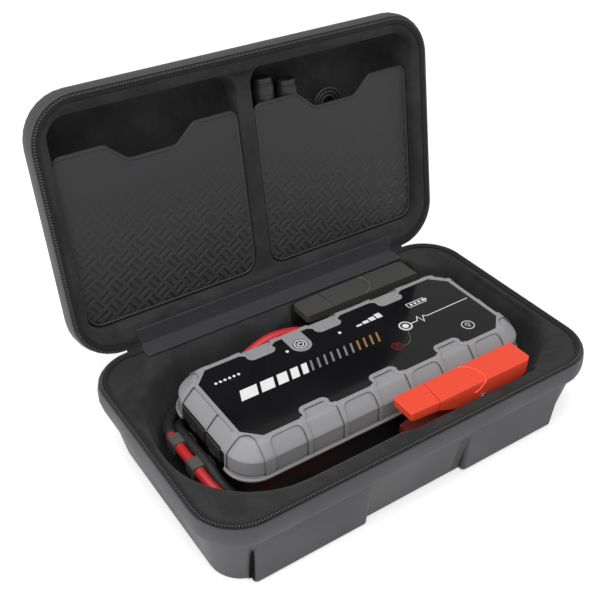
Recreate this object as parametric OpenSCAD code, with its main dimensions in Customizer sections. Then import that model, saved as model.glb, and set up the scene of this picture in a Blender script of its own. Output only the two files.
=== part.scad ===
// Jump starter pack: a portable lithium jump starter with its clamps and leads,
// lying in a zipped moulded case whose lid stands open.
// Origin: centre of the case's flat underside. +X runs along the case, +Y towards
// the hinge, +Z up. The zip closes in a level plane at the top of the base.

/* [Case] */
// Length of the zip line, left to right
zip_w = 412; // [400:1:440]
// Depth of the zip line, front to hinge
zip_d = 243; // [240:1:260]
// Corner radius of the zip line
zip_r = 42; // [38:1:48]
// Height of the zip plane above the table
base_h = 82; // [80:1:95]
// Depth of the lid, from the zip plane to its outside
lid_h = 46; // [45:1:60]
// Angle that the lid stands open, from closed
lid_open = 99.8; // [90:0.2:120]
// Wall of the moulded shells
shell_t = 3; // [2.5:0.5:4]
// Draw-in of the base from the zip line down to the underside
base_draft = 15; // [13:1:16]
// Draw-in of the lid from the zip line up to its top
lid_draft = 12; // [10:1:13]
// Height of the bulged rim band on each half
band_h = 21; // [18:1:24]
// How far the front panels stand proud of the base at the bottom
panel_proud = 5.5; // [3:0.5:7]
// Width of each front panel
panel_w = 113; // [90:1:118]
// Distance between the two front panels' middles
panel_pitch = 222; // [210:1:230]

/* [Zip and hinge] */
// Length of the fabric hinge strip
hinge_len = 298; // [260:2:310]
// Width of each leaf of the hinge strip
leaf_w = 16; // [14:1:17]
// Thickness of the hinge fabric
leaf_t = 1; // [0.8:0.1:1.4]
// Width of the zip tape on each half
tape_w = 6.5; // [5:0.5:8]
// Thickness of the zip tape
tape_t = 0.8; // [0.6:0.1:1]
// Width of the zip coil
coil_w = 2.6; // [2:0.1:3.2]
// Half the gap between the closed coils
coil_gap = 0.2; // [0.15:0.05:0.3]
// Length of a zip slider
slider_l = 8; // [7:0.5:10]
// Length of a slider's pull tab
pull_l = 26; // [20:1:30]

/* [Lining] */
// Half length of the base cavity's mouth
cavity_x = 194.5; // [190:0.5:196]
// Half depth of the base cavity's mouth
cavity_y = 98; // [96:0.5:100]
// Corner radius of the cavity's mouth at the left end
cavity_rl = 88; // [80:1:92]
// Corner radius of the cavity's mouth at the right end
cavity_rr = 60; // [50:1:70]
// How far the cavity's mouth lies below the zip plane
mouth_drop = 8; // [6:0.5:10]
// How much the cavity narrows on each side down to its floor
cavity_draft = 14; // [12:0.5:15]
// Width of the rib between the lid's two recesses
rib_w = 16; // [12:1:20]
// Depth of the rib's crest below the lid's zip plane
rib_drop = 12; // [11.5:0.5:13]
// Distance from a recess's outer end to the zip line
recess_edge = 16; // [15:1:18]
// Depth of the lid recesses' floor below the zip plane
recess_drop = 38.5; // [36:0.5:39]
// Depth of the pocket panels below the zip plane
pocket_drop = 14.4; // [14:0.2:17]
// Thickness of a pocket panel
pocket_t = 2; // [1.5:0.5:2.5]
// Height of a pocket panel, hinge side to top edge
pocket_h = 165; // [150:1:170]
// Depth of the finger scoop in a pocket panel's top edge
scoop_h = 17; // [12:1:20]

/* [Jump starter] */
// Length over the corner lobes
unit_l = 322; // [312:1:326]
// Width over the bumper
unit_w = 134; // [132:1:135]
// Height of the jump starter
unit_h = 78; // [74:1:80]
// Place of its middle along the case
unit_x = 6.5; // [5:0.5:8]
// Place of its middle across the case
unit_y = -3; // [-4:0.5:-2]
// How far its face stands above the zip plane
face_proud = 10.3; // [9:0.1:10.8]
// Height of the grey upper housing, lip to face
upper_h = 32.5; // [31:0.5:34]
// Wall of the housings
wall = 2.6; // [2:0.1:3]
// Corner radius of the bumper
unit_r = 27; // [24:1:30]
// Depth of the shallow windows in the bumper
window_t = 1.1; // [0.8:0.1:1.6]
// Distance from an end to the face plate
face_end = 18.5; // [17:0.5:21]
// Distance from a side to the face plate
face_side = 18; // [17.5:0.5:20]
// Thickness of the face plate
face_t = 1.2; // [1:0.1:1.6]
// Distance between the bumper lobes that reach into the face
lobe_pitch = 74; // [70:1:76]
// How far a lobe reaches into the face
lobe_in = 12; // [8:0.5:14]
// Inset of the lower housing below the lip, at the sides
lower_inset = 6; // [5:0.5:8]
// Inset of the lower housing at the ends
end_inset = 15; // [14:0.5:16]
// Radius of the power button
power_r = 7; // [5:0.5:8]
// Radius of the boost button
boost_r = 4.7; // [4:0.1:4.8]
// Radius of the override button
override_r = 4; // [3:0.5:5]
// Radius of the light button
light_r = 4.7; // [4:0.1:4.8]
// Travel of a button
press = 0.8; // [0.5:0.1:1]
// Running clearance of a button in its hole
press_gap = 0.3; // [0.2:0.05:0.5]

/* [Clamps and leads] */
// Length of a clamp
clamp_l = 141; // [136:1:144]
// Width of a clamp
clamp_w = 28; // [26:1:29]
// Height of a closed clamp over its handle ends
grip_h = 48; // [44:1:48]
// Thickness of a handle at its end
arm_t = 8; // [7:0.5:9]
// Height of the upper jaw
jaw_h = 11.6; // [10:0.2:13]
// Radius of a clamp's pivot pin
pin_r = 3; // [2.5:0.5:4]
// Running clearance round the pivot pin
pin_gap = 0.05; // [0.02:0.01:0.1]
// Diameter of a lead
lead_d = 9.6; // [8:0.2:10]
// Diameter of the adapter cable in the pocket
cable_d = 3; // [2.4:0.2:3.4]
// Number of loops in the cable hank
hank_loops = 6; // [4:2:6]
// Length of the hank's straight runs
hank_run = 56; // [40:2:60]

/* [Hidden] */
$fn = 48;
e = 0.01;
seat = 0.25;                      // clearance between a soft piece and what carries it

hinge_y = zip_d/2;
rim_z = base_h - coil_gap - 1.8;  // top of the base shell's rim
lid_rim = base_h - rim_z;         // the lid's rim lies as far above the zip plane
face_z = base_h + face_proud;
unit_z = face_z - unit_h;         // underside of the jump starter
lip_z = face_z - upper_h;
face_l = unit_l - 2*face_end;
face_w = unit_w - 2*face_side;
split_z = lip_z + 2;              // the two housings meet here, behind the lip
lower_l = unit_l/2 - end_inset;   // half length of the lower housing
lower_w = unit_w/2 - lower_inset; // half width of the lower housing
mouth_z = base_h - mouth_drop;
corner_n = 8;                     // facets in a rounded corner

// ---------- outlines and lofts ----------
function arc(x, y, r, a, b, n = corner_n) =
    [for (i = [0:n]) let (t = a + (b - a)*i/n) [x + r*cos(t), y + r*sin(t)]];
// Rounded rectangle between two corners, with its own radius at the left and right
function rounded(x0, y0, x1, y1, rl, rr) = concat(
    arc(x1 - rr, y0 + rr, rr, -90, 0), arc(x1 - rr, y1 - rr, rr, 0, 90),
    arc(x0 + rl, y1 - rl, rl, 90, 180), arc(x0 + rl, y0 + rl, rl, 180, 270));
function centred(hx, hy, r) = rounded(-hx, -hy, hx, hy, r, r);
// The case's outline, grown from the zip line by o
function case_ring(o) = centred(zip_w/2 + o, zip_d/2 + o, zip_r + 0.75*o);
function flip(ring, s) = s > 0 ? ring : [for (i = [len(ring) - 1:-1:0]) ring[i]];

// Solid through a stack of rings: each entry is [ring, z]. The stack may turn back
// down inside itself, which makes a shell.
module loft(stack) {
    n = len(stack[0][0]);
    m = len(stack);
    polyhedron(
        points = [for (s = stack) for (p = s[0]) [p[0], p[1], s[1]]],
        faces = concat([[for (j = [0:n - 1]) j]],
            [for (i = [0:m - 2]) for (j = [0:n - 1]) let (k = (j + 1) % n)
                for (f = [[i*n + j, (i + 1)*n + j, (i + 1)*n + k], [i*n + j, (i + 1)*n + k, i*n + k]]) f],
            [[for (j = [n - 1:-1:0]) (m - 1)*n + j]]));
}
module block(x0, y0, z0, x1, y1, z1) translate([x0, y0, z0]) cube([x1 - x0, y1 - y0, z1 - z0]);
// Everything on the lid is drawn closed and swung open about the hinge line
module on_lid() translate([0, hinge_y, base_h]) rotate([-lid_open, 0, 0])
    translate([0, -hinge_y, 0]) children();

// Tube swept along a route of points, with its sides kept level
function unit(v) = v/norm(v);
function heading(p, i) = unit(p[min(i + 1, len(p) - 1)] - p[max(i - 1, 0)]);
module tube(p, d, sides = 8) {
    m = len(p);
    polyhedron(
        points = [for (i = [0:m - 1]) let (t = heading(p, i),
                side = unit(cross(abs(t[2]) > 0.95 ? [1, 0, 0] : [0, 0, 1], t)), up = cross(t, side))
            for (j = [0:sides - 1]) p[i] + d/2*(cos(360*j/sides)*side + sin(360*j/sides)*up)],
        faces = concat([[for (j = [0:sides - 1]) j]],
            [for (i = [0:m - 2]) for (j = [0:sides - 1]) let (k = (j + 1) % sides, a = i*sides)
                for (f = [[a + j, a + sides + k, a + k], [a + j, a + sides + j, a + sides + k]]) f],
            [[for (j = [sides - 1:-1:0]) (m - 1)*sides + j]]));
}

// ---------- case ----------
front_y = -(zip_d/2 - base_draft);  // foot of the plain front wall
under_z = base_h - band_h - 8;      // where the sloped underside meets the base wall

module front_panel(x) {
    wall_y = -(zip_d/2 - 5.5);
    foot_y = front_y - panel_proud;
    ring = function (y, w) [for (p = rounded(-w/2, y, w/2, y + 9, 3.5, 3.5)) [p[0] + x, p[1]]];
    loft([[ring(foot_y + 1.6, panel_w - 2), 0], [ring(foot_y, panel_w), 2.2],
          [ring(wall_y + 0.1, panel_w + 3), under_z]]);
}
module base_shell() color("dimgray") {
    out = [[-base_draft - 3, 0], [-base_draft - 0.7, 1], [-base_draft, 3], [-5.5, under_z],
           [-2.5, under_z + 4.5], [0.8, base_h - band_h], [2, base_h - band_h + 5],
           [1.8, base_h - 8], [0.8, base_h - 3], [0, rim_z]];
    in = [[-shell_t - 0.5, rim_z], [-shell_t - 0.5, under_z + 7], [-shell_t - 6, under_z],
          [-shell_t - base_draft, shell_t + 2], [-shell_t - base_draft - 3, shell_t]];
    difference() {
        union() {
            loft([for (s = concat(out, in)) [case_ring(s[0]), s[1]]]);
            for (s = [-1, 1]) front_panel_clear(s*panel_pitch/2 - 2);
        }
        slider_reliefs();
    }
}
// A front panel without the part that would fill the base's inside
module front_panel_clear(x) difference() {
    front_panel(x);
    loft([[case_ring(-base_draft - 1), -e], [case_ring(-base_draft - 1), 2.5],
          [case_ring(-6.5), under_z + e]]);
}
module slider_reliefs() for (s = [-1, 1])
    translate([s*slider_x, hinge_y, base_h]) rotate([0, 90, 0])
        cylinder(r = slider_reach + 0.5, h = slider_l + 2, center = true);

module base_lining() color([0.2, 0.2, 0.21]) {
    out = [[-shell_t - base_draft - 3.4, shell_t + seat], [-shell_t - base_draft - seat, shell_t + 2.2],
           [-shell_t - 6 - seat, under_z], [-shell_t - 0.5 - seat, under_z + 7.4],
           [-shell_t - 0.5 - seat, rim_z - 1.6], [-tape_w - 0.8, rim_z - 0.3]];
    mouth = [[0, 0, mouth_z], [-2.4, -4, mouth_z - 4], [-4.5, -8, mouth_z - 10],
             [-cavity_draft, -14, unit_z - seat + 6], [-cavity_draft - 4, -18, unit_z - seat]];
    shelf = case_ring(-tape_w - 4);
    lip = cavity_ring(mouth[0]);
    difference() {
        loft(concat([for (s = out) [case_ring(s[0]), s[1]]], [[shelf, rim_z - 0.6]],
            [for (t = [0.4, 0.75]) [shelf + t*(lip - shelf), rim_z - 0.6 + 1.2*t - (rim_z + 0.6 - mouth_z)*t^3]],
            [for (s = mouth) [cavity_ring(s), s[2]]]));
        clamp_bay(red_at);
        clamp_bay(black_at);
        block(-hinge_len/2 - 1, hinge_y - leaf_w - 1.4, rim_z - 0.2, hinge_len/2 + 1, hinge_y, base_h);
    }
}
function cavity_ring(s) = rounded(-cavity_x - s[0], -cavity_y - s[0], cavity_x + s[0], cavity_y + s[0],
    cavity_rl + s[1], cavity_rr + s[1]);
// Space pressed into the lining for the clamp that lies at p
module clamp_bay(p) {
    ya = p[1] - clamp_w/2 - 2;
    yb = p[1] + clamp_w/2 + 2;
    bay(p[0] - 28, p[1] - lead_d/2 - 1, p[0] + 2, p[1] + lead_d/2 + 1, p[2] - seat - 4, lead_d/2);
    bay(p[0] - 6, ya, p[0] + clamp_l*0.5, yb, p[2] - seat);
    bay(p[0] + clamp_l*0.3, ya, p[0] + clamp_l + 7, yb, p[2] + 15);
}
module bay(x0, y0, x1, y1, z, r = 9) translate([0, 0, z]) linear_extrude(base_h + 1 - z)
    polygon(rounded(x0, y0, x1, y1, r, r));
module zip_band(o0, o1, h) difference() {
    linear_extrude(h) difference() {
        polygon(case_ring(o1));
        polygon(case_ring(o0));
    }
    block(-hinge_len/2 - slider_l - 6, hinge_y - 20, -e, hinge_len/2 + slider_l + 6, hinge_y + 5, h + e);
}
module base_zip_tape() color([0.1, 0.1, 0.11]) translate([0, 0, rim_z]) zip_band(-tape_w, 0, tape_t);
module base_zip_coil() color([0.08, 0.08, 0.09]) translate([0, 0, rim_z + tape_t])
    zip_band(-0.6 - coil_w, -0.6, base_h - coil_gap - rim_z - tape_t);
module lid_zip_tape() color([0.1, 0.1, 0.11]) on_lid()
    translate([0, 0, base_h - rim_z - tape_t]) zip_band(-tape_w, 0, tape_t);
module lid_zip_coil() color([0.08, 0.08, 0.09]) on_lid()
    translate([0, 0, coil_gap]) zip_band(-0.6 - coil_w, -0.6, base_h - coil_gap - rim_z - tape_t);

module lid_shell() color("dimgray") on_lid() difference() {
    out = [[0, lid_rim], [0.8, 3.5], [1.8, 8], [2, band_h - 5], [0.8, band_h], [-2.5, band_h + 3.5],
           [-6, band_h + 8], [-lid_draft, lid_h - 6], [-lid_draft - 4, lid_h - 1.6],
           [-lid_draft - 10, lid_h]];
    in = [[-lid_draft - 12, lid_h - shell_t], [-shell_t - lid_draft - 1.6, lid_h - shell_t - 2.6],
          [-shell_t - 7, band_h + 8], [-shell_t - 0.5, band_h + 1], [-shell_t - 0.5, lid_rim]];
    difference() {
        loft([for (s = out) [case_ring(s[0]), s[1]]]);
        loft([for (i = [len(in) - 1:-1:0]) [case_ring(in[i][0]), in[i][1] - (i == len(in) - 1 ? 1 : 0)]]);
    }
    translate([0, 0, -base_h]) slider_reliefs();
}
recess_x = zip_w/2 - recess_edge;      // outer end of a lid recess at the panel's depth
recess_y0 = -(zip_d/2 - recess_edge - 2);
recess_y1 = zip_d/2 - 24;
module lid_recess(s) {
    x0 = s > 0 ? rib_w/2 : -recess_x;
    x1 = s > 0 ? recess_x : -rib_w/2;
    deep = 5;
    xa = s > 0 ? 0 : deep;
    xb = s > 0 ? -deep : 0;
    loft([[rounded(x0, recess_y0, x1, recess_y1, 16, 16), rib_drop - 1],
          [rounded(x0, recess_y0, x1, recess_y1, 16, 16), pocket_drop + 4],
          [rounded(x0 + xa, recess_y0 + deep, x1 + xb, recess_y1 - 2, 14, 14), recess_drop - 3],
          [rounded(x0 + xa + 3, recess_y0 + deep + 3, x1 + xb - 3, recess_y1 - 5, 12, 12), recess_drop]]);
}
module lid_lining() color([0.17, 0.17, 0.18]) on_lid() difference() {
    loft([for (s = [[-tape_w - 0.8, lid_rim + 0.3], [-shell_t - 0.5 - seat, lid_rim + 1.6],
                    [-shell_t - 0.5 - seat, band_h + 0.8], [-shell_t - 7 - seat, band_h + 8],
                    [-shell_t - lid_draft - 1.6 - seat, lid_h - shell_t - 3],
                    [-lid_draft - 12.4, lid_h - shell_t - seat]]) [case_ring(s[0]), s[1]]]);
    loft([[case_ring(-tape_w - 2), lid_rim], [case_ring(-tape_w - 4), lid_rim + 1],
          [rounded(-recess_x - 0.5, recess_y0 - 0.5, recess_x + 0.5, recess_y1 + 3, 20, 20), 6.5],
          [rounded(-recess_x, recess_y0, recess_x, recess_y1, 16, 16), rib_drop]]);
    lid_recess(-1);
    lid_recess(1);
    block(-hinge_len/2 - 1, hinge_y - leaf_w - 1.4, 0, hinge_len/2 + 1, hinge_y, lid_rim + 0.2);
}
// Stiff panel across a lid recess, with a finger scoop in its free edge
module pocket_panel(x0, w) {
    top = recess_y1 - 1 - pocket_h;      // free edge, towards the front of a closed lid
    a = w*0.29;                          // left tab
    b = w*0.27;                          // right tab
    run = 19;                            // length of the scoop's sloped sides
    shape = concat(
        arc(x0 + 9, top + 9, 9, 180, 270), arc(x0 + a - 6, top + 8, 8, 270, 315, 3),
        arc(x0 + a + run + 1, top + scoop_h - 9, 9, 130, 90, 3),
        arc(x0 + w - b - run - 1, top + scoop_h - 9, 9, 90, 50, 3),
        arc(x0 + w - b + 6, top + 8, 8, 225, 270, 3), arc(x0 + w - 9, top + 9, 9, 270, 360),
        arc(x0 + w - 16, recess_y1 - 1 - 16, 16, 0, 90), arc(x0 + 16, recess_y1 - 1 - 16, 16, 90, 180));
    on_lid() translate([0, 0, pocket_drop]) linear_extrude(pocket_t) polygon(shape);
}
panel_x = rib_w/2 + seat;
panel_len = recess_x - seat - panel_x;
module left_pocket_panel() color([0.23, 0.23, 0.24]) pocket_panel(-panel_x - panel_len, panel_len);
module right_pocket_panel() color([0.23, 0.23, 0.24]) pocket_panel(panel_x, panel_len);

module hinge_leaf(z) translate([-hinge_len/2, hinge_y - 0.8 - leaf_w, z]) cube([hinge_len, leaf_w, leaf_t]);
module hinge_leaf_base() color([0.27, 0.27, 0.29]) hinge_leaf(rim_z + 0.05);
module hinge_leaf_lid() color([0.27, 0.27, 0.29]) on_lid() hinge_leaf(lid_rim - 0.05 - leaf_t);

// ---------- zip sliders, parked at the two ends of the zip ----------
slider_x = hinge_len/2 + slider_l/2 + 2;
slider_lean = -50;                 // the slider leans out between the two rims
slider_reach = 5.7;
pull_pos = [hinge_y + 6.6*cos(slider_lean), base_h + 6.6*sin(slider_lean)];
module slider(s) translate([s*slider_x, hinge_y, base_h]) rotate([slider_lean, 0, 0]) {
    difference() {
        translate([-slider_l/2, 1.4, -2.8]) cube([slider_l, 3.6, 5.6]);
        for (z = [-3.4, 1.4]) translate([-slider_l/2 - e, 2.6, z]) cube([slider_l + 2*e, 1.2, 2]);
    }
    for (x = [-1.8, 1.8]) translate([x, 6.6, 0]) rotate([0, 90, 0]) difference() {
        union() {
            cylinder(r = 1.3, h = 1.2, center = true);
            translate([-1.2, -1.7, -0.6]) cube([2.4, 1.4, 1.2]);
        }
        cylinder(r = 0.6, h = 3, center = true);
    }
}
module pull(s) translate([s*slider_x, pull_pos[0], pull_pos[1]]) {
    rotate([0, 90, 0]) cylinder(r = 0.55, h = 5, center = true);
    for (x = [-2.9, 2.9]) translate([x - 0.4, -0.6, -4.5]) cube([0.8, 1.2, 5.1]);
    translate([-3.3, -0.6, -pull_l]) difference() {
        cube([6.6, 1.2, pull_l - 4]);
        translate([3.3, -1, 4]) rotate([-90, 0, 0]) cylinder(r = 1.6, h = 4);
    }
}
module left_slider() color([0.12, 0.12, 0.13]) slider(-1);
module right_slider() color([0.12, 0.12, 0.13]) slider(1);
module left_pull() color([0.12, 0.12, 0.13]) pull(-1);
module right_pull() color([0.12, 0.12, 0.13]) pull(1);

// ---------- jump starter ----------
module in_unit() translate([unit_x, unit_y, 0]) children();
// Rings of the upper housing, [inset from the bumper, radius, z], sunk by s
function upper_rings(s) = [
    [1.2, unit_r - 1, lip_z], [0, unit_r, lip_z + 1], [0, unit_r, lip_z + 2.4], [1.2, unit_r - 1, lip_z + 3.8],
    [1.8, unit_r - 1, face_z - 13.5], [3.2, unit_r - 2, face_z - 10.2 - s*0.7],
    [10.6, unit_r - 5, face_z - 2.2 - s*0.7], [12.4, unit_r - 6, face_z - 0.5 - s], [13.6, unit_r - 6, face_z - s]];
module upper_loft(s) loft([for (r = upper_rings(s))
    [centred(unit_l/2 - r[0] - s, unit_w/2 - r[0] - s, r[1]), r[2]]]);

// Face plate outline, notched by the bumper's lobes
lobe_x = [-lobe_pitch, 0, lobe_pitch];
module lobe(x, s, w_in, w_out, reach) translate([x, s*face_w/2]) polygon(concat(
    [[w_out/2, 8*s], [w_out/2, 1.5*s]],
    [for (p = arc(w_in/2 - 5, -s*(reach - 6), 6, 30*s, -90*s, 5)) [p[0], p[1]]],
    [for (p = arc(-w_in/2 + 5, -s*(reach - 6), 6, -90*s, -210*s, 5)) [p[0], p[1]]],
    [[-w_out/2, 1.5*s], [-w_out/2, 8*s]]));
module face_outline(g = 0) difference() {
    offset(delta = -g) polygon(let (a = face_l/2, b = face_w/2, c = 14)
        [[a - c, -b], [a, -b + c], [a, b - c], [a - c, b], [-a + c, b], [-a, b - c], [-a, -b + c], [-a + c, -b]]);
    for (x = lobe_x, s = [-1, 1]) lobe(x, s, 28 + 2*g, 44 + 2*g, lobe_in + g);
}
// Places of the controls, from the middle of the face
power_at = [-37, 33];
boost_at = [60.6, 0.8];
override_at = [35, -19];
light_at = [face_l/2 - 31.8, -30.5];
bars_at = [22, 26.5];
dots_at = [[-53, 31], [3, 27]];
module at(p) translate([p[0], p[1], 0]) children();
// Grey tab round the power button, running in from the back edge
module power_tab(g = 0) {
    at(power_at) circle(10.5 + g);
    translate([power_at[0] - 10.5 - g, power_at[1]]) square([21 + 2*g, 30]);
}
// Shallow windows in the bumper, seen from above: over and between the lobes, in
// the four corners, and a pair at each end
rib = 4.5;
module windows() {
    for (s = [-1, 1], x = [-1.5:0.5:1.5])
        window(x*lobe_pitch, s, lobe_pitch/2 - rib, face_w/2 + rib - (abs(x) % 1 == 0 ? lobe_in : 0));
    for (s = [-1, 1], t = [-1, 1]) scale([s, t]) polygon(concat([[unit_l/2 + 9, cap_w/2 + 2.5]],
        arc(unit_l/2 - 16.5, cap_w/2 + 10.5, 8, 270, 180, 4), [[unit_l/2 - 24.5, unit_w], [unit_l/2 + 9, unit_w]]));
}
module window(x, s, w, y0) translate([x, 0]) scale([1, s]) polygon(concat(
    [[w/2, 90]], arc(w/2 - 6, y0 + 6, 6, 0, -90, 4), arc(-w/2 + 6, y0 + 6, 6, -90, -180, 4), [[-w/2, 90]]));
module end_windows() for (s = [-1, 1], y = [[-31.5, port_split - 0.5], [port_split + 0.5, 35]])
    translate([s > 0 ? face_l/2 + 4 : -face_l/2 - 30, y[0]]) square([26, y[1] - y[0]]);

module upper_housing() color([0.6, 0.6, 0.61]) in_unit() difference() {
    upper_loft(0);
    // inside
    difference() {
        loft([for (r = [[wall + 2, unit_r - 4, lip_z - 1], [wall + 2, unit_r - 4, face_z - 14.5],
                        [wall + 13.5, unit_r - 9, face_z - face_t - wall - 0.6]])
            [centred(unit_l/2 - r[0], unit_w/2 - r[0], r[1]), r[2]]]);
        for (p = boss_at) at(p) translate([0, 0, split_z + 0.2]) cylinder(r = 4.4, h = upper_h);
    }
    for (p = boss_at) at(p) translate([0, 0, split_z - 1]) cylinder(r = 1.6, h = 14);
    // ends open between the corner lobes, below the sloping panels
    for (s = [-1, 1]) block(s*(unit_l/2 - 10) - 12, -cap_w/2, lip_z - 1, s*(unit_l/2 - 10) + 12, cap_w/2, cap_z1);
    // seat of the face plate
    translate([0, 0, face_z - face_t - 0.3]) linear_extrude(3) difference() {
        face_outline(-0.15);
        power_tab();
    }
    translate([0, 0, face_z - 8]) linear_extrude(12) {
        for (p = [power_at, boost_at, override_at, light_at]) at(p) circle(2.3);
    }
    translate([0, 0, face_z - 1.9]) linear_extrude(4) at(power_at) circle(power_r + press_gap);
    for (p = [boost_at, override_at, light_at]) at(p)
        translate([0, 0, face_z - face_t - 1.4]) cylinder(r = 5.2, h = 3);
    // shallow windows
    difference() {
        union() {
            translate([0, 0, lip_z + 5]) linear_extrude(upper_h) windows();
            translate([0, 0, lip_z + 5]) linear_extrude(upper_h) end_windows();
        }
        upper_loft(window_t);
    }
}
boss_at = [for (x = [28 - lower_l, 0, lower_l - 28], y = [12 - lower_w, lower_w - 12]) [x, y]];

module lower_housing() color([0.09, 0.09, 0.1]) in_unit() difference() {
    loft([[centred(lower_l - 5, lower_w - 5, 16), unit_z], [centred(lower_l - 1, lower_w - 1, 19), unit_z + 2],
          [centred(lower_l, lower_w, 20), unit_z + 6], [centred(lower_l, lower_w, 20), split_z]]);
    difference() {
        loft([[centred(lower_l - wall, lower_w - wall, 18), unit_z + wall],
              [centred(lower_l - wall, lower_w - wall, 18), split_z + 1]]);
        for (p = boss_at) at(p) translate([0, 0, unit_z]) cylinder(r = 5, h = split_z - unit_z);
    }
    for (p = boss_at) at(p) {
        translate([0, 0, unit_z - 1]) cylinder(r = 2.1, h = unit_h);
        translate([0, 0, unit_z - 1]) cylinder(r = 4, h = 9);
    }
    for (s = [-1, 1]) translate([lower_l, s*gland_y, gland_z]) rotate([0, 90, 0])
        cylinder(r = lead_d/2 + 1.7, h = 14, center = true);
}
module face_plate() color([0.07, 0.07, 0.08]) in_unit() translate([0, 0, face_z - face_t - 0.25])
    linear_extrude(face_t) difference() {
        face_outline(0);
        power_tab(0.2);
        for (p = [[boost_at, boost_r], [override_at, override_r], [light_at, light_r]])
            at(p[0]) circle(p[1] + press_gap);
        for (i = [0:3]) bar(i, 0.1);
        for (p = dots_at) at(p) circle(1.7);
    }
module bar(i, g = 0) translate([bars_at[0] + 8*i - g, bars_at[1] - 1.6 - g])
    square([6.4 + 2*g, 2.4 + 1.5*i + 2*g]);

board_z = face_z - 12;             // top of the circuit board
board_t = 1.6;
cell_h = 11;
cell_x = lower_l - 41;             // half length and half width of a cell
cell_y = lower_w - 18;
cell_z = unit_z + wall + 0.25;     // underside of the lowest cell
cell_top = cell_z + 4*(cell_h + 0.3) + 0.1;
module button(p, r, thick) in_unit() at(p) {
    translate([0, 0, face_z - thick]) cylinder(r = r, h = thick - 0.1);
    translate([0, 0, board_z + 3.2 + press + 0.2]) cylinder(r = 1.9, h = face_z - thick - board_z - 3.4 - press + e);
}
module power_button() color([0.1, 0.1, 0.1]) button(power_at, power_r, 1);
module boost_button() color([0.85, 0.85, 0.85]) button(boost_at, boost_r, 1.4);
module override_button() color([0.6, 0.1, 0.15]) button(override_at, override_r, 1.4);
module light_button() color([0.1, 0.1, 0.1]) button(light_at, light_r, 1.4);
module charge_lights() color([0.85, 0.85, 0.85]) in_unit() translate([0, 0, face_z - face_t - 0.3])
    for (i = [0:3]) linear_extrude(face_t + 0.1) bar(i);
module status_lights() color([0.8, 0.8, 0.8]) in_unit() translate([0, 0, face_z - face_t - 0.3])
    for (p = dots_at) at(p) cylinder(r = 1.6, h = face_t + 0.1);

// Black caps in the open ends: sockets and their covers at the left, torch at the right
cap_w = unit_w - 60;
cap_z0 = split_z + 0.3;
cap_z1 = face_z - 13.8;            // underside of the sloping end panels
cap_x = unit_l/2 - 3;
port_z = (cap_z0 + cap_z1)/2 + 0.5;
port_split = -6;                   // the two ports' panels meet here
ports = [[14.5, 22, 7, 38], [-19, 14, 6, 24]]; // y, width and height of each socket, and its cover's width
module cap(s) loft([for (r = [[cap_x - 1.5, cap_w/2 - 1.7, cap_z0], [cap_x, cap_w/2 - 0.2, cap_z0 + 1.5],
        [cap_x, cap_w/2 - 0.2, cap_z1 - 0.2]])
    [s < 0 ? rounded(-r[0], -r[1], -lower_l + 6, r[1], 3, 1) : rounded(lower_l - 6, -r[1], r[0], r[1], 1, 3), r[2]]]);
module end_cap() color([0.08, 0.08, 0.09]) in_unit() difference() {
    cap(-1);
    for (p = ports) block(-cap_x - 1, p[0] - p[1]/2, port_z - p[2]/2, -cap_x + 13, p[0] + p[1]/2, port_z + p[2]/2);
}
cover_h = 12;
cover_z = port_z + cover_h/2 - 0.2; // the covers swing about this height
module port_cover(p) in_unit() {
    block(-cap_x - 2.3, p[0] - p[3]/2, cover_z - cover_h, -cap_x - 0.3, p[0] + p[3]/2, cover_z);
    block(-cap_x - 3.6, p[0] - 5, cover_z - cover_h, -cap_x - 2.2, p[0] + 5, cover_z - cover_h + 2.4);
    translate([-cap_x - 1.3, p[0], cover_z]) rotate([90, 0, 0]) cylinder(r = 1, h = p[3], center = true);
}
module out_port_cover() color([0.13, 0.13, 0.14]) port_cover(ports[0]);
module in_port_cover() color([0.13, 0.13, 0.14]) port_cover(ports[1]);
torch_w = 36;
torch_h = 10;
module torch_cap() color([0.08, 0.08, 0.09]) in_unit() difference() {
    cap(1);
    block(cap_x - 9, -torch_w/2, port_z - torch_h/2, cap_x + 1, torch_w/2, port_z + torch_h/2);
}
module torch_reflector() color("silver") in_unit() difference() {
    block(cap_x - 8.8, -torch_w/2 + 0.2, port_z - torch_h/2 + 0.2, cap_x - 3, torch_w/2 - 0.2, port_z + torch_h/2 - 0.2);
    for (y = [-9, 9]) translate([cap_x - 2.9, y, port_z]) rotate([0, -90, 0]) cylinder(r1 = 4.2, r2 = 1.6, h = 5);
}
module torch_lens() color([0.8, 0.85, 0.9, 0.5]) in_unit()
    block(cap_x - 2.7, -torch_w/2 + 0.2, port_z - torch_h/2 + 0.2, cap_x + 0.3, torch_w/2 - 0.2, port_z + torch_h/2 - 0.2);

module circuit_board() color([0.05, 0.3, 0.15]) in_unit() {
    difference() {
        block(22 - lower_l, 17 - lower_w, board_z - board_t, lower_l - 22, lower_w - 17, board_z);
        for (p = boss_at) at(p) translate([0, 0, board_z - 3]) cylinder(r = 5, h = 6);
    }
    for (p = [power_at, boost_at, override_at, light_at]) at(p) translate([-3, -3, board_z - e]) cube([6, 6, 3.2]);
    for (x = [-96:24:96]) block(x - 8, -36, board_z - 9, x + 8, -22, board_z - board_t + e);
    for (x = [-80, -60, 60, 80]) translate([x, 15, board_z - 10]) cylinder(r = 5, h = 10.1 - board_t);
    for (x = [-1, 1], y = [-1, 1]) translate([x*(cell_x + 7), y*(cell_y - 13), cell_top])
        cylinder(r = 3, h = board_z - board_t + 0.1 - cell_top);
}
module battery_cells() color([0.25, 0.35, 0.5]) in_unit()
    for (i = [0:3]) translate([0, 0, cell_z + i*(cell_h + 0.3)]) block(-cell_x, -cell_y, 0, cell_x, cell_y, cell_h);
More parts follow.
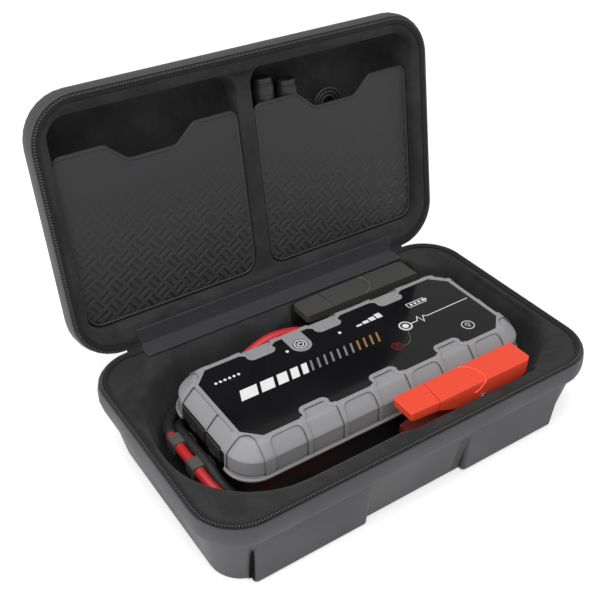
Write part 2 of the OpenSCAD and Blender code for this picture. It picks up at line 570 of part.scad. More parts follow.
module terminal_bars() color([0.8, 0.5, 0.3]) in_unit() for (s = [-1, 1]) {
    block(cell_x + 0.3, s*gland_y - 6, cell_z + 0.8, cell_x + 3, s*gland_y + 6, gland_z + 6);
    block(cell_x + 2.9, s*gland_y - 6, gland_z - 6, lower_l - 8, s*gland_y + 6, gland_z - 3.5);
}
module housing_screws() color("silver") in_unit() for (p = boss_at) at(p) {
    translate([0, 0, unit_z + 4.6]) cylinder(r = 3.5, h = 3.3);
    translate([0, 0, unit_z + 7]) cylinder(r = 1.55, h = split_z - unit_z);
}

// ---------- leads ----------
gland_y = 22;
gland_z = base_h - 42;
gland_l = 4;
module gland(s) in_unit() translate([lower_l - 4, s*gland_y, gland_z]) rotate([0, 90, 0]) difference() {
    union() {
        cylinder(r = lead_d/2 + 1.6, h = 4 + gland_l);
        translate([0, 0, 4.2]) cylinder(r = lead_d/2 + 3.2, h = 2);
    }
    translate([0, 0, -1]) cylinder(r = lead_d/2 - 2, h = 20);
    translate([0, 0, 2 + gland_l]) cylinder(r = lead_d/2 + 0.05, h = 20);
}
module red_gland() color([0.1, 0.1, 0.1]) gland(1);
module black_gland() color([0.1, 0.1, 0.1]) gland(-1);

// Where each clamp lies: the bottom corner of its handle end
red_at = [-5.5, -88.6, base_h + 10 - grip_h];
black_at = [8, 88.5, base_h - 2 - grip_h];
lower_x = 10;                      // the lower handle is this much shorter
lead_x0 = unit_x + lower_l + gland_l - 2;
pair_z = base_h - 30;              // height of the two leads along the left end
pair_x = [unit_x - unit_l/2 - 14, unit_x - unit_l/2 - 14 + lead_d + 0.4]; // the red one is the outer
floor_z = unit_z + lead_d/2 + 0.3;  // height of a lead that lies on the cavity's floor
// Red lead: from its gland round the back and the left end to the red clamp's handle
red_route = [
    [lead_x0, unit_y + gland_y, gland_z], [lead_x0 + 5, unit_y + gland_y, gland_z],
    [169.3, 21.5, 39.5], [176.3, 28.5, 38.5], [178.6, 38, 37.3], [176.3, 47.5, 36], [169.3, 55, 34.2],
    [158.5, 60.8, 31.8], [145, 64.8, 28.7], [127, 66.5, 24.6], [106, 66.5, 21.2], [86, 66.5, 20],
    [68, 66.5, 21.3], [52, 66.5, 26], [38, 67, 34.4], [26, 68, 45], [15, 69, 56], [4, 69.3, 65.4],
    [-8, 69.8, 71.5], [-22, 71.5, 74], [-36, 73, 74], [-50, 73, 71], [-66, 72.5, 64.3], [-84, 72, 55],
    [-104, 72, 46.5], [-126, 70.5, 42], [-145, 63.5, 42.5], [-159, 51, 46.5], [-166.5, 37, 50.3],
    [pair_x[0], 24, pair_z], [pair_x[0], -24, pair_z], [-166, -41, 47.5], [-159.5, -55.5, 41],
    [-148, -67.5, 35], [-132, -75.5, 31], [-110, -79.3, 29.3], [-80, -79.5, 29.3], [-58, -80.5, 31.5],
    [-40, -82, 38], [-22, -85.5, 45], [red_at[0] + lower_x - 7, red_at[1], red_at[2] + 5.2],
    [red_at[0] + lower_x - 0.02, red_at[1], red_at[2] + 5.4]];
// Black lead: from its gland round the front and the left end to the black clamp's handle
black_route = [
    [lead_x0, unit_y - gland_y, gland_z], [lead_x0 + 5, unit_y - gland_y, gland_z],
    [169.3, -27.5, 39.5], [176, -34.5, 38], [178, -44, 36], [175.5, -53.3, 33.6], [169.3, -60.8, 31],
    [158.5, -66.8, 28], [145, -71.8, 24.8], [127, -75.3, 21.6], [106, -76.5, floor_z], [-70, -76.3, floor_z],
    [-94, -75.3, floor_z + 0.2], [-114, -72.5, 21], [-130, -67, 24.6], [-143, -58.5, 30.3], [-152, -47.5, 38],
    [-157.2, -36, 46.3], [pair_x[1], -24, pair_z], [pair_x[1], 24, pair_z], [-156, 36.5, 47.5],
    [-148.5, 47.8, 41], [-137, 58.2, 33.8], [-120, 65.2, 26.5], [-99, 66.5, 21.6], [-76, 69.5, floor_z],
    [-56, 72.8, 20.4], [-38, 77.5, 24.2], [-23, 80, 29.3], [-6, 85.5, 35.2],
    [black_at[0] + lower_x - 7, black_at[1], black_at[2] + 5.2],
    [black_at[0] + lower_x - 0.02, black_at[1], black_at[2] + 5.4]];
module red_lead() color([0.75, 0.1, 0.12]) tube(red_route, lead_d);
module black_lead() color([0.1, 0.1, 0.1]) tube(black_route, lead_d);
clip_y = [17, -17];
clip_l = 13;
clip_r = lead_d/2 + 1.8;
module lead_clips() color([0.25, 0.25, 0.25]) for (y = clip_y) difference() {
    union() {
        block(pair_x[0] - clip_r, y - clip_l/2, pair_z - clip_r, pair_x[0] + clip_r, y + clip_l/2, pair_z + clip_r);
        block(pair_x[0], y - clip_l/2, pair_z - clip_r, pair_x[1] + clip_r, y + clip_l/2, pair_z + 0.5);
    }
    for (x = pair_x) translate([x, y, pair_z]) rotate([90, 0, 0])
        cylinder(r = lead_d/2 + 0.1, h = clip_l + 2, center = true);
}

// ---------- clamps ----------
// Each clamp is drawn along +X from its handle end, with z = 0 under its lower handle
pivot_x = clamp_l*0.57;
pivot_z = grip_h - 18;
meet_z = grip_h - jaw_h - 1.4;     // the toothed plates meet here
jaw_x = pivot_x + 14;
skirt_y = clamp_w/2 - 2.8;         // inside face of the upper arm's side skirts
upper_outline = [[0, grip_h - arm_t], [clamp_l*0.3, grip_h - 10.5], [pivot_x - 14, grip_h - 10.5],
    [pivot_x - 10, grip_h - 8.2], [pivot_x + 10, grip_h - 8.2], [jaw_x - 1, meet_z + 1.4], [clamp_l - 3, meet_z + 1.4],
    [clamp_l, meet_z + 4], [clamp_l - 0.6, grip_h - 3.4], [clamp_l - 4, grip_h], [1.5, grip_h], [0, grip_h - 1.5]];
skirt_outline = [[clamp_l*0.18, grip_h - 8], [clamp_l*0.34, grip_h - 17], [pivot_x - 9, grip_h - 25.4],
    [pivot_x, grip_h - 27], [pivot_x + 9, grip_h - 25.4], [clamp_l*0.9, grip_h - 16.6], [clamp_l - 3, meet_z + 1.5],
    [clamp_l - 3, grip_h - 6], [clamp_l*0.18, grip_h - 6]];
lower_outline = [[lower_x, 2], [lower_x + 1.5, 0.4], [lower_x + 26, 4], [pivot_x - 14, pivot_z - 12],
    [pivot_x, pivot_z - 10], [jaw_x, pivot_z - 10], [clamp_l - 16, pivot_z - 6], [clamp_l - 3, meet_z - 8],
    [clamp_l - 0.6, meet_z - 3], [clamp_l - 3, meet_z - 1.4], [jaw_x - 1, meet_z - 1.4],
    [pivot_x + 5, pivot_z + 2.5], [pivot_x - 5, pivot_z + 2.5], [pivot_x - 14, pivot_z - 1], [lower_x, 10.4]];
module arm_solid(outline, w = clamp_w) translate([0, w/2, 0]) rotate([90, 0, 0]) linear_extrude(w) polygon(outline);
// Plan of a clamp: it widens a little towards the jaws, with a cut front corner
module plan() translate([0, 0, -1]) linear_extrude(grip_h + 2) polygon([[0, -clamp_w/2 + 3.5], [1.5, -clamp_w/2 + 2.2],
    [clamp_l*0.25, -clamp_w/2 + 0.8], [clamp_l - 9, -clamp_w/2], [clamp_l - 2, -clamp_w/2 + 5], [clamp_l, -clamp_w/2 + 10],
    [clamp_l, clamp_w/2 - 2], [clamp_l - 2, clamp_w/2], [1.5, clamp_w/2], [0, clamp_w/2 - 1.5]]);
module pin_hole(r) translate([pivot_x, 0, pivot_z]) rotate([90, 0, 0]) cylinder(r = r, h = clamp_w + 2, center = true);
module jaw_seat() block(jaw_x, -7.2, meet_z - 5, clamp_l - 4, 7.2, meet_z + 5);
module upper_arm() difference() {
    intersection() {
        union() {
            arm_solid(upper_outline);
            for (s = [-1, 1]) translate([0, s*(clamp_w/2 + skirt_y)/2, 0]) arm_solid(skirt_outline, clamp_w/2 - skirt_y);
        }
        plan();
    }
    pin_hole(pin_r + pin_gap);
    jaw_seat();
}
module lower_arm() difference() {
    intersection() {
        union() {
            arm_solid(lower_outline, 2*skirt_y - 0.8);
            translate([pivot_x, 0, pivot_z]) rotate([90, 0, 0]) cylinder(r = 8, h = 2*skirt_y - 0.8, center = true);
            intersection() {
                arm_solid(lower_outline);
                block(0, -clamp_w, -1, clamp_l*0.26, clamp_w, grip_h);
            }
        }
        plan();
    }
    pin_hole(pin_r + 0.02);
    jaw_seat();
    // slot for the spring
    block(pivot_x - 9, -5.8, pivot_z - 7, pivot_x + 9, 5.8, pivot_z + 9);
}
// Toothed contact plate of one jaw, with its stud sunk in the arm
teeth = 9;
module jaw_plate(s) {
    x0 = jaw_x + 0.3;
    x1 = clamp_l - 4.3;
    pitch = (x1 - x0)/teeth;
    translate([0, 6.9, meet_z]) rotate([90, 0, 0]) linear_extrude(13.8) polygon(flip(concat(
        [[x0, s*4.8], [x0, s*2]], [for (i = [0:teeth - 1]) each [[x0 + pitch*(i + 0.5), s*0.3], [x0 + pitch*(i + 1), s*2]]],
        [[x1, s*4.8]]), s));
}
module pivot() translate([pivot_x, 0, pivot_z]) rotate([90, 0, 0]) {
    cylinder(r = pin_r, h = clamp_w + 0.4, center = true);
    for (s = [-1, 1]) translate([0, 0, s*(clamp_w/2 + 0.9)]) cylinder(r = pin_r + 1.5, h = 1.4, center = true);
}
// Torsion spring wound round the pin, in the lower arm's slot
spring_turns = 5;
module spring() tube([for (i = [0:spring_turns*8]) let (a = 45*i) [pivot_x + (pin_r + 1.4)*cos(a),
    -4.6 + 9.2*i/(spring_turns*8), pivot_z + (pin_r + 1.4)*sin(a)]], 1.4, 6);
module at_red() translate(red_at) children();
module at_black() translate(black_at) mirror([0, 1, 0]) children();
red = [0.93, 0.28, 0.17];
black = [0.2, 0.2, 0.2];
copper = [0.8, 0.5, 0.3];
module red_upper_arm() color(red) at_red() upper_arm();
module red_lower_arm() color(red) at_red() lower_arm();
module red_upper_jaw() color(copper) at_red() jaw_plate(1);
module red_lower_jaw() color(copper) at_red() jaw_plate(-1);
module red_pivot() color("silver") at_red() pivot();
module red_spring() color("silver") at_red() spring();
module black_upper_arm() color(black) at_black() upper_arm();
module black_lower_arm() color(black) at_black() lower_arm();
module black_upper_jaw() color(copper) at_black() jaw_plate(1);
module black_lower_jaw() color(copper) at_black() jaw_plate(-1);
module black_pivot() color("silver") at_black() pivot();
module black_spring() color("silver") at_black() spring();

// ---------- adapter cable in the right pocket ----------
plug_r = 10.5;
plug_depth = 27;                   // depth of the plugs' axes below the lid's zip plane
function on_pocket(x, s, d) = [x, hinge_y - s, d];
module adapter(x, top, len, bore) on_lid() translate(on_pocket(x, top, plug_depth)) rotate([-90, 0, 0]) difference() {
    union() {
        cylinder(r = plug_r - 1, h = 6);
        translate([0, 0, 5]) cylinder(r = plug_r, h = len - 12);
        translate([0, 0, len - 8]) cylinder(r1 = plug_r - 1, r2 = cable_d/2 + 1.5, h = 8);
    }
    translate([0, 0, -1]) cylinder(r = bore, h = 9);
    translate([0, 0, 6]) rotate_extrude() translate([plug_r - 0.4, 0]) square([2, 1]);
    translate([0, 0, 15]) rotate_extrude() translate([plug_r - 0.4, 0]) square([2, 1]);
}
module adapter_plug() color([0.1, 0.1, 0.11]) adapter(28, 210, 52, 2.2);
module adapter_socket() color([0.1, 0.1, 0.11]) adapter(54, 203, 46, 6);

// Hank: half its loops spiral in on one layer, the rest spiral out on the next
hank_pitch = cable_d + 0.6;
hank_in = 5.6;                     // radius of the innermost turn
hank_at = [100, 168];              // middle of the hank, x and distance from the hinge
half_loops = hank_loops/2;
hank_n = 24;
function hank_point(i) =
    let (t = i/hank_n, u = t < half_loops ? t : hank_loops - t,
         r = hank_in + hank_pitch*(half_loops - u),
         k = (i % hank_n)/hank_n,
         lay = min(1, max(0, (t - half_loops + 0.25)*2)),
         z = plug_depth - hank_pitch/2 + lay*hank_pitch,
         a = k < 0.5 ? k*2 : (k - 0.5)*2,
         turn = 0.7,
         side = k < 0.5 ? 1 : -1,
         x = a < turn ? side*r*cos(180*a/turn) : -side*r,
         y = a < turn ? side*(hank_run/2 + r*sin(180*a/turn)) : side*(hank_run/2)*(1 - 2*(a - turn)/(1 - turn)))
    on_pocket(hank_at[0] - x, hank_at[1] - hank_run/2 + y, z);
hank_points = [for (i = [0:hank_loops*hank_n]) hank_point(i)];
hank_gap = min([for (i = [0:len(hank_points) - 1]) for (j = [i + 8:1:len(hank_points) - 1])
    norm(hank_points[i] - hank_points[j])]) - cable_d;
echo(hank_least_gap = hank_gap);
module adapter_hank() color([0.12, 0.12, 0.12]) on_lid() tube(hank_points, cable_d, 6);
// The two ends of the cable: from the plug up the hank's side into its first turn, and
// from its last turn over and down to the socket. Each entry is x and distance from the hinge.
hank_x = hank_at[0] - hank_in - hank_pitch*half_loops;
plug_tail = [[30, 139], [34, 127], [44, 116], [57, 110.5], [70, 110.5], [79, 117], [82.6, 127], [hank_x - 0.4, 140],
             [hank_x - 0.2, 154], [hank_x, hank_at[1] - 0.3]];
socket_tail = [[54.3, 147.5], [56.3, 140.5], [61, 137.2], [66.5, 140.5], [70, 148], [71, 158], [71.3, 168], [73, 174],
               [77, 176.5], [81, 175], [hank_x - 0.4, 171.5], [hank_x, hank_at[1] + 0.3]];
function tail(x, s, z, turn) = concat([on_pocket(x, s, plug_depth), on_pocket(x, s - 5, plug_depth)],
    [for (i = [0:len(turn) - 1]) on_pocket(turn[i][0], turn[i][1], plug_depth + (z - plug_depth)*min(1, (i + 1)/3))]);
module adapter_tails() color([0.12, 0.12, 0.12]) on_lid() {
    tube(tail(28, 157.9, plug_depth - hank_pitch/2, plug_tail), cable_d, 8);
    tube(tail(54, 156.9, plug_depth + hank_pitch/2, socket_tail), cable_d, 8);
}

base_shell();
base_lining();
base_zip_tape();
base_zip_coil();
lid_shell();
lid_lining();
lid_zip_tape();
lid_zip_coil();
left_pocket_panel();
right_pocket_panel();
hinge_leaf_base();
hinge_leaf_lid();
left_slider();
right_slider();
left_pull();
right_pull();
upper_housing();
lower_housing();
face_plate();
end_cap();
power_button();
boost_button();
override_button();
light_button();
charge_lights();
status_lights();
out_port_cover();
in_port_cover();
circuit_board();
battery_cells();
terminal_bars();
housing_screws();
torch_cap();
torch_reflector();
torch_lens();
red_gland();
black_gland();
red_lead();
black_lead();
lead_clips();
red_upper_arm();
red_lower_arm();
red_upper_jaw();
red_lower_jaw();
red_pivot();
red_spring();
black_upper_arm();
black_lower_arm();
black_upper_jaw();
black_lower_jaw();
black_pivot();
black_spring();
adapter_plug();
adapter_socket();
adapter_hank();
adapter_tails();
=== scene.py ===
"""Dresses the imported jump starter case: cords, soft parts, prints, finishes and stage.

Lengths are in metres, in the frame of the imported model: +X along the case, +Y to the
hinge, +Z up. Helpers that end in _mm take millimetres, as the part's source does.
"""
import math
from functools import wraps

import bpy
import numpy as np
from bpy.props import FloatProperty, FloatVectorProperty, IntProperty, PointerProperty
from mathutils import Matrix, Vector
from mathutils.geometry import delaunay_2d_cdt


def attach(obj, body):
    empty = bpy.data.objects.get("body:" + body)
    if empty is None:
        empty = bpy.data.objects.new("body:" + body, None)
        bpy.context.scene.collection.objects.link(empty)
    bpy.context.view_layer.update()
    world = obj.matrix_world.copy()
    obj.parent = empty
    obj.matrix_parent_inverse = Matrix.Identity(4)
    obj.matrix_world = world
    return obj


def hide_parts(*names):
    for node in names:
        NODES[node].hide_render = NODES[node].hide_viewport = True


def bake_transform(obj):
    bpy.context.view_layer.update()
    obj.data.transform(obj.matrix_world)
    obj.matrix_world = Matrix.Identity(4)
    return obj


bl_info = {
    "name": "Jump starter pack",
    "version": (1, 0, 0),
    "blender": (4, 5, 0),
    "location": "3D View > Sidebar > Jump starter",
    "description": "Cords, soft parts, prints, finishes and stage of a cased jump starter",
    "category": "Add Mesh",
}

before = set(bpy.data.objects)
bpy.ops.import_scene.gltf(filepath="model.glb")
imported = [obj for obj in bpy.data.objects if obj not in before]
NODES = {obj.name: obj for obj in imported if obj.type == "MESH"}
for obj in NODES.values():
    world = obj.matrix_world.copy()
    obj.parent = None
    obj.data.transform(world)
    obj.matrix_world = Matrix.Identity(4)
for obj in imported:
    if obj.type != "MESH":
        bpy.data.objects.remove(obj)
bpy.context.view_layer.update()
MM = 0.001


def tone(r, g=None, b=None):
    """A screen colour, 0 to 255, as the linear colour that a socket takes."""
    level = [c / 255 for c in (r, r if g is None else g, r if b is None else b)]
    return tuple(c / 12.92 if c <= 0.04045 else ((c + 0.055) / 1.055) ** 2.4 for c in level)


def length_prop(name, what, default):
    return FloatProperty(name=name, description=what, default=default, min=0, unit="LENGTH", precision=5)


def colour_prop(name, what, default):
    return FloatVectorProperty(
        name=name, description=what, default=default, min=0, max=1, subtype="COLOR"
    )


class CaseSettings(bpy.types.PropertyGroup):
    """Sizes and colours of the zipped case."""

    zip_length: length_prop("Zip length", "Zip line from left to right", 0.412)
    zip_depth: length_prop("Zip depth", "Zip line from front to hinge", 0.243)
    zip_radius: length_prop("Zip corner", "Corner radius of the zip line", 0.042)
    zip_height: length_prop("Zip height", "Height of the zip plane", 0.082)
    rim_height: length_prop("Rim height", "Height of the base's rim, under the tape", 0.080)
    lid_angle: FloatProperty(
        name="Lid angle", description="How far the lid stands open", default=math.radians(99.8),
        subtype="ANGLE",
    )
    tooth_pitch: length_prop("Tooth pitch", "Distance between two zip teeth", 0.0026)
    tape_width: length_prop("Tape width", "Width of the tape on each half", 0.0065)
    hinge_length: length_prop("Hinge length", "Length of the fabric hinge strip", 0.298)
    hinge_width: length_prop("Hinge leaf", "Width of the strip on each half", 0.016)
    panel_depth: length_prop("Pocket depth", "Depth of the pocket panels in the lid", 0.0144)
    panel_crown: length_prop("Pocket crown", "How far a pocket panel bulges", 0.0009)
    shell: colour_prop("Shell", "Moulded outside", tone(66, 66, 69))
    lining: colour_prop("Lining", "Flocked lining", tone(41, 41, 42))
    panel: colour_prop("Pocket panel", "Pressed pocket panels", tone(50, 50, 52))
    tape: colour_prop("Zip tape", "Woven zip tape", tone(23, 23, 24))
    teeth: colour_prop("Zip teeth", "Coil of the zip", tone(18, 18, 19))
    thread: colour_prop("Thread", "Stitches of the zip and hinge", tone(90, 90, 90))
    strip: colour_prop("Hinge strip", "Woven strip over the hinge", tone(53, 53, 58))


class PackSettings(bpy.types.PropertyGroup):
    """Colours and print of the jump starter."""

    print_thickness: length_prop("Ink", "Thickness of the printed marks", 0.00008)
    stroke: length_prop("Line", "Width of the printed lines", 0.0011)
    bumper: colour_prop("Bumper", "Grey upper housing", tone(151, 151, 153))
    plastic: colour_prop("Black parts", "Lower housing, caps and keys", tone(42, 42, 44))
    face: colour_prop("Face", "Glossy face plate", tone(20, 20, 22))
    white: colour_prop("White print", "Bright marks", tone(236))
    faint: colour_prop("Grey print", "Fine secondary marks", tone(128))
    ruby: colour_prop("Red print", "Override ring", tone(128, 24, 38))
    amber: colour_prop("Amber print", "Thin bars at the gauge's end", tone(158, 116, 62))


class LeadSettings(bpy.types.PropertyGroup):
    """Sizes and colours of the leads, the clamps and the adapter cable."""

    lead_width: length_prop("Lead", "Diameter of a clamp lead", 0.0096)
    cable_width: length_prop("Cable", "Diameter of the adapter cable", 0.003)
    cord_sides: IntProperty(name="Sides", description="Facets round a lead", default=20, min=8)
    red: colour_prop("Red lead", "Red jacket", tone(205, 40, 46))
    black: colour_prop("Black lead", "Black jacket", tone(38))
    red_grip: colour_prop("Red clamp", "Orange-red grips", tone(240, 74, 46))
    black_grip: colour_prop("Black clamp", "Black grips", tone(72, 72, 69))
    clip: colour_prop("Clips", "Grey bands that hold the leads", tone(86, 86, 83))


class StageSettings(bpy.types.PropertyGroup):
    """Floor, lamps and world."""

    floor_size: length_prop("Floor", "Side of the floor", 30)
    floor: colour_prop("Floor colour", "Pale floor", tone(243))
    glow: FloatProperty(
        name="Floor glow", description="Light that the floor shows of its own", default=0.45, min=0
    )
    sky: FloatProperty(
        name="Sky", description="Strength of the plain sky on the object", default=0.44, min=0
    )
    key: FloatProperty(
        name="Key lamp", description="Power of the large lamp", default=26, min=0, unit="POWER"
    )
    side: FloatProperty(
        name="Side lamp", description="Power of the lamp at the left", default=6, min=0, unit="POWER"
    )


# ---------- shapes ----------


def piece(name, points, faces, body, finish, smooth=True):
    """A new mesh piece that rides on a body and takes one finish."""
    mesh = bpy.data.meshes.new(name)
    mesh.from_pydata([tuple(p) for p in points], [], [tuple(f) for f in faces])
    mesh.update()
    if smooth:
        mesh.polygons.foreach_set("use_smooth", [True] * len(mesh.polygons))
    return settle(bpy.data.objects.new(name, mesh), body, finish)


def settle(obj, body, finish):
    """Puts a piece in the scene, on its body and finish."""
    bpy.context.scene.collection.objects.link(obj)
    obj.data.materials.clear()
    obj.data.materials.append(finish)
    if body:
        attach(obj, body)
    return obj


def tidy_edges(obj, width=0.0003, angle=30, segments=2):
    """Small rounded edges, with the flats kept flat."""
    weld = obj.modifiers.new("Join seams", "WELD")
    weld.merge_threshold = 0.00001
    bevel = obj.modifiers.new("Soft edges", "BEVEL")
    bevel.width, bevel.segments = width, segments
    bevel.limit_method, bevel.angle_limit = "ANGLE", math.radians(angle)
    bevel.use_clamp_overlap = bevel.harden_normals = True
    normals = obj.modifiers.new("Even shading", "WEIGHTED_NORMAL")
    normals.keep_sharp = False
    return obj


def dress(node, finish, width=0.0003, angle=30, segments=2):
    """Gives a CAD node its finish and its rounded edges."""
    obj = NODES[node]
    obj.data.materials.clear()
    obj.data.materials.append(finish)
    return tidy_edges(obj, width, angle, segments)


def on_lid(points):
    """Points drawn on the closed lid, x, y and depth behind the zip plane, swung open."""
    case = bpy.context.scene.case_settings
    hinge, top, angle = case.zip_depth / 2, case.zip_height, -case.lid_angle
    c, s = math.cos(angle), math.sin(angle)
    return [
        (x, hinge + (y - hinge) * c - d * s, top + (y - hinge) * s + d * c)
        for x, y, d in (tuple(p) for p in points)
    ]


def rim_path(inset, step, clear):
    """Points on the zip line, inset inwards, from the hinge round the front and back.

    The part within clear of the middle of the hinge side is left out.
    """
    case = bpy.context.scene.case_settings
    hx, hy = case.zip_length / 2 - inset, case.zip_depth / 2 - inset
    r = case.zip_radius - 0.75 * inset
    corners = ((hx - r, hy - r, 90), (hx - r, r - hy, 0), (r - hx, r - hy, -90), (r - hx, hy - r, -180))
    line = [(clear, hy)]
    for cx, cy, start in corners:
        line += arc_mm(cx, cy, r, start, start - 90, 24)
    line.append((-clear, hy))
    return even(np.array(line), step)


def even(line, step):
    """The same line with its points a whole step apart, or as near as fits."""
    line = np.asarray(line, float)
    gaps = np.linalg.norm(np.diff(line, axis=0), axis=1)
    along = np.concatenate([[0], np.cumsum(gaps)])
    count = max(2, int(round(along[-1] / step)) + 1)
    at = np.linspace(0, along[-1], count)
    return np.stack([np.interp(at, along, line[:, k]) for k in range(line.shape[1])], axis=1)


def headings(line):
    step = np.gradient(np.asarray(line, float), axis=0)
    return step / np.linalg.norm(step, axis=1)[:, None]


def quads(rows, across, closed=False, looped=False, flip=False, base=0):
    """Faces of a net of points, kept row after row from point number base.

    Closed joins the two ends of each row, and looped the last row to the first.
    """
    faces = []
    for i in range(rows if looped else rows - 1):
        here, there = base + i * across, base + (i + 1) % rows * across
        for j in range(across if closed else across - 1):
            k = (j + 1) % across
            a, b, c, d = here + j, here + k, there + k, there + j
            faces.append((a, d, c, b) if flip else (a, b, c, d))
    return faces


def ends(rows, across, base=0):
    """The two end faces of a net of closed rows."""
    last = base + (rows - 1) * across
    return [tuple(range(base, base + across))[::-1], tuple(range(last, last + across))]


def sweep(line, profile):
    """A strip along a level line: profile is points of (outwards, height)."""
    ways = headings(line)
    out = np.stack([-ways[:, 1], ways[:, 0]], axis=1)
    points = [(p[0] + o[0] * a, p[1] + o[1] * a, h) for p, o in zip(line, out) for a, h in profile]
    net = len(line), len(profile)
    return points, quads(*net, closed=True) + ends(*net)


def curved(points, step, samples=8):
    """A smooth line through every point, a centripetal spline, sampled a step apart."""
    p = np.asarray(points, float)
    p = np.vstack([2 * p[0] - p[1], p, 2 * p[-1] - p[-2]])
    out = []
    for a, b, c, d in zip(p[:-3], p[1:-2], p[2:-1], p[3:]):
        spans = (max(np.linalg.norm(v - u) ** 0.5, 1e-6) for u, v in ((a, b), (b, c), (c, d)))
        t1, t2, t3 = np.cumsum(list(spans))
        for t in np.linspace(t1, t2, samples, endpoint=False):
            ab = a + (b - a) * t / t1
            bc = b + (c - b) * (t - t1) / (t2 - t1)
            cd = c + (d - c) * (t - t2) / (t3 - t2)
            left = ab + (bc - ab) * t / t2
            right = bc + (cd - bc) * (t - t1) / (t3 - t1)
            out.append(left + (right - left) * (t - t1) / (t2 - t1))
    out.append(p[-2])
    return even(out, step)


def tube(name, route, width, sides, body, finish):
    """A round cord along a route, with closed ends."""
    route = np.asarray(route, float)
    ways = [Vector(way) for way in headings(route)]
    side = Vector((0, 0, 1)).cross(ways[0])
    side = side.normalized() if side.length > 0.1 else Vector((1, 0, 0))
    before, points = ways[0], []
    for p, way in zip(route, ways):
        side = before.rotation_difference(way) @ side
        side = (side - way * side.dot(way)).normalized()
        up = way.cross(side)
        before = way
        for a in np.arange(sides) * 2 * math.pi / sides:
            points.append(Vector(p) + (side * math.cos(a) + up * math.sin(a)) * width / 2)
    net = len(route), sides
    return piece(name, points, quads(*net, closed=True) + ends(*net), body, finish)


def stitches(spots, foot, crown):
    """Small bars of thread, from foot to crown height.

    Each spot is a middle, a half length, a half width and the way up.
    """
    points, faces = [], []
    for spot in spots:
        middle, along, aside, up = (np.array(v) for v in spot)
        faces += quads(4, 3, flip=True, base=len(points))
        for u, rise in ((-1, foot), (-0.6, crown), (0.6, crown), (1, foot)):
            for v, drop in ((-1, 0.0002), (0, 0), (1, 0.0002)):
                points.append(middle + along * u + aside * v + up * (rise - drop))
    return points, faces


def rounded_mm(x0, y0, x1, y1, r, n=6):
    """A rounded rectangle in millimetres, anticlockwise."""
    corners = ((x1 - r, y0 + r, -90), (x1 - r, y1 - r, 0), (x0 + r, y1 - r, 90), (x0 + r, y0 + r, 180))
    return [p for x, y, start in corners for p in arc_mm(x, y, r, start, start + 90, n)]


def arc_mm(x, y, r, start, end, n=8):
    """An arc round a point from a start to an end angle, in degrees; it takes metres as well."""
    turn = [math.radians(start + (end - start) * i / n) for i in range(n + 1)]
    return [(x + r * math.cos(a), y + r * math.sin(a)) for a in turn]


# ---------- shader nodes ----------


def put(tree, kind, values=None, **settings):
    """Adds a node, with its settings and the plain values of its sockets."""
    node = tree.nodes.new(kind)
    for name, value in settings.items():
        setattr(node, name, value)
    for name, value in (values or {}).items():
        node.inputs[name].default_value = value
    return node


def join(tree, *pairs):
    for a, b in pairs:
        tree.links.new(a, b)


def feed(tree, value, socket):
    """Links an output to a socket, or sets the socket to a plain number, vector or colour."""
    if hasattr(value, "is_linked"):
        tree.links.new(value, socket)
    else:
        socket.default_value = (*value, 1) if socket.type == "RGBA" else value


def number(tree, operation, a, b=0.5, clamp=False):
    """A Math node whose inputs are sockets or plain numbers."""
    node = put(tree, "ShaderNodeMath", operation=operation, use_clamp=clamp)
    for value, socket in zip((a, b), node.inputs):
        feed(tree, value, socket)
    return node.outputs[0]


def product(tree, first, *others, clamp=False):
    """Sockets and plain numbers multiplied in turn."""
    for other in others:
        first = number(tree, "MULTIPLY", first, other, clamp)
    return first


def along_axis(tree, point, axis):
    """How far a point lies along an axis."""
    node = put(tree, "ShaderNodeVectorMath", operation="DOT_PRODUCT")
    join(tree, (point, node.inputs[0]), (axis, node.inputs[1]))
    return node.outputs["Value"]


def tinted(tree, colour, level):
    """A colour made lighter or darker by a level."""
    node = put(tree, "ShaderNodeVectorMath", operation="SCALE")
    join(tree, (colour, node.inputs[0]), (level, node.inputs["Scale"]))
    return node.outputs[0]


def spread(tree, value, low, high, to_low=0.0, to_high=1.0):
    """Maps low..high to to_low..to_high, smoothly and held at the ends."""
    values = {"To Min": to_low, "To Max": to_high}
    node = put(tree, "ShaderNodeMapRange", values, interpolation_type="SMOOTHSTEP")
    for name, given in (("Value", value), ("From Min", low), ("From Max", high)):
        feed(tree, given, node.inputs[name])
    return node.outputs["Result"]


def mixed(tree, mask, a, b):
    """A colour between a and b, which are sockets or plain colours."""
    node = put(tree, "ShaderNodeMix", data_type="RGBA")
    mask_in, a_in, b_in = node.inputs[0], node.inputs[6], node.inputs[7]
    for value, socket in ((mask, mask_in), (a, a_in), (b, b_in)):
        feed(tree, value, socket)
    return node.outputs[2]


def place_of(tree):
    return put(tree, "ShaderNodeTexCoord").outputs["Object"]


def noise(tree, where, scale, detail, roughness=0.5, distortion=0.0):
    """Noise over the surface; its scale is a socket or a plain number."""
    values = {"Detail": detail, "Roughness": roughness, "Distortion": distortion}
    node = put(tree, "ShaderNodeTexNoise", values)
    feed(tree, scale, node.inputs["Scale"])
    join(tree, (where, node.inputs["Vector"]))
    return node.outputs["Fac"]


# ---------- shader groups ----------


FLOAT, COLOUR, VECTOR = "NodeSocketFloat", "NodeSocketColor", "NodeSocketVector"
GREY = (0.5, 0.5, 0.5, 1)
DUST = tone(150, 148, 144)


def new_group(name, inputs, outputs):
    """An empty shader group, what it is given and what it puts out, by socket name."""
    tree = bpy.data.node_groups.new(name, "ShaderNodeTree")
    for label, kind, default in inputs:
        socket = tree.interface.new_socket(label, in_out="INPUT", socket_type=kind)
        socket.default_value = default
    for label, kind in outputs:
        tree.interface.new_socket(label, in_out="OUTPUT", socket_type=kind)
    return tree, tree.nodes.new("NodeGroupInput").outputs, tree.nodes.new("NodeGroupOutput").inputs


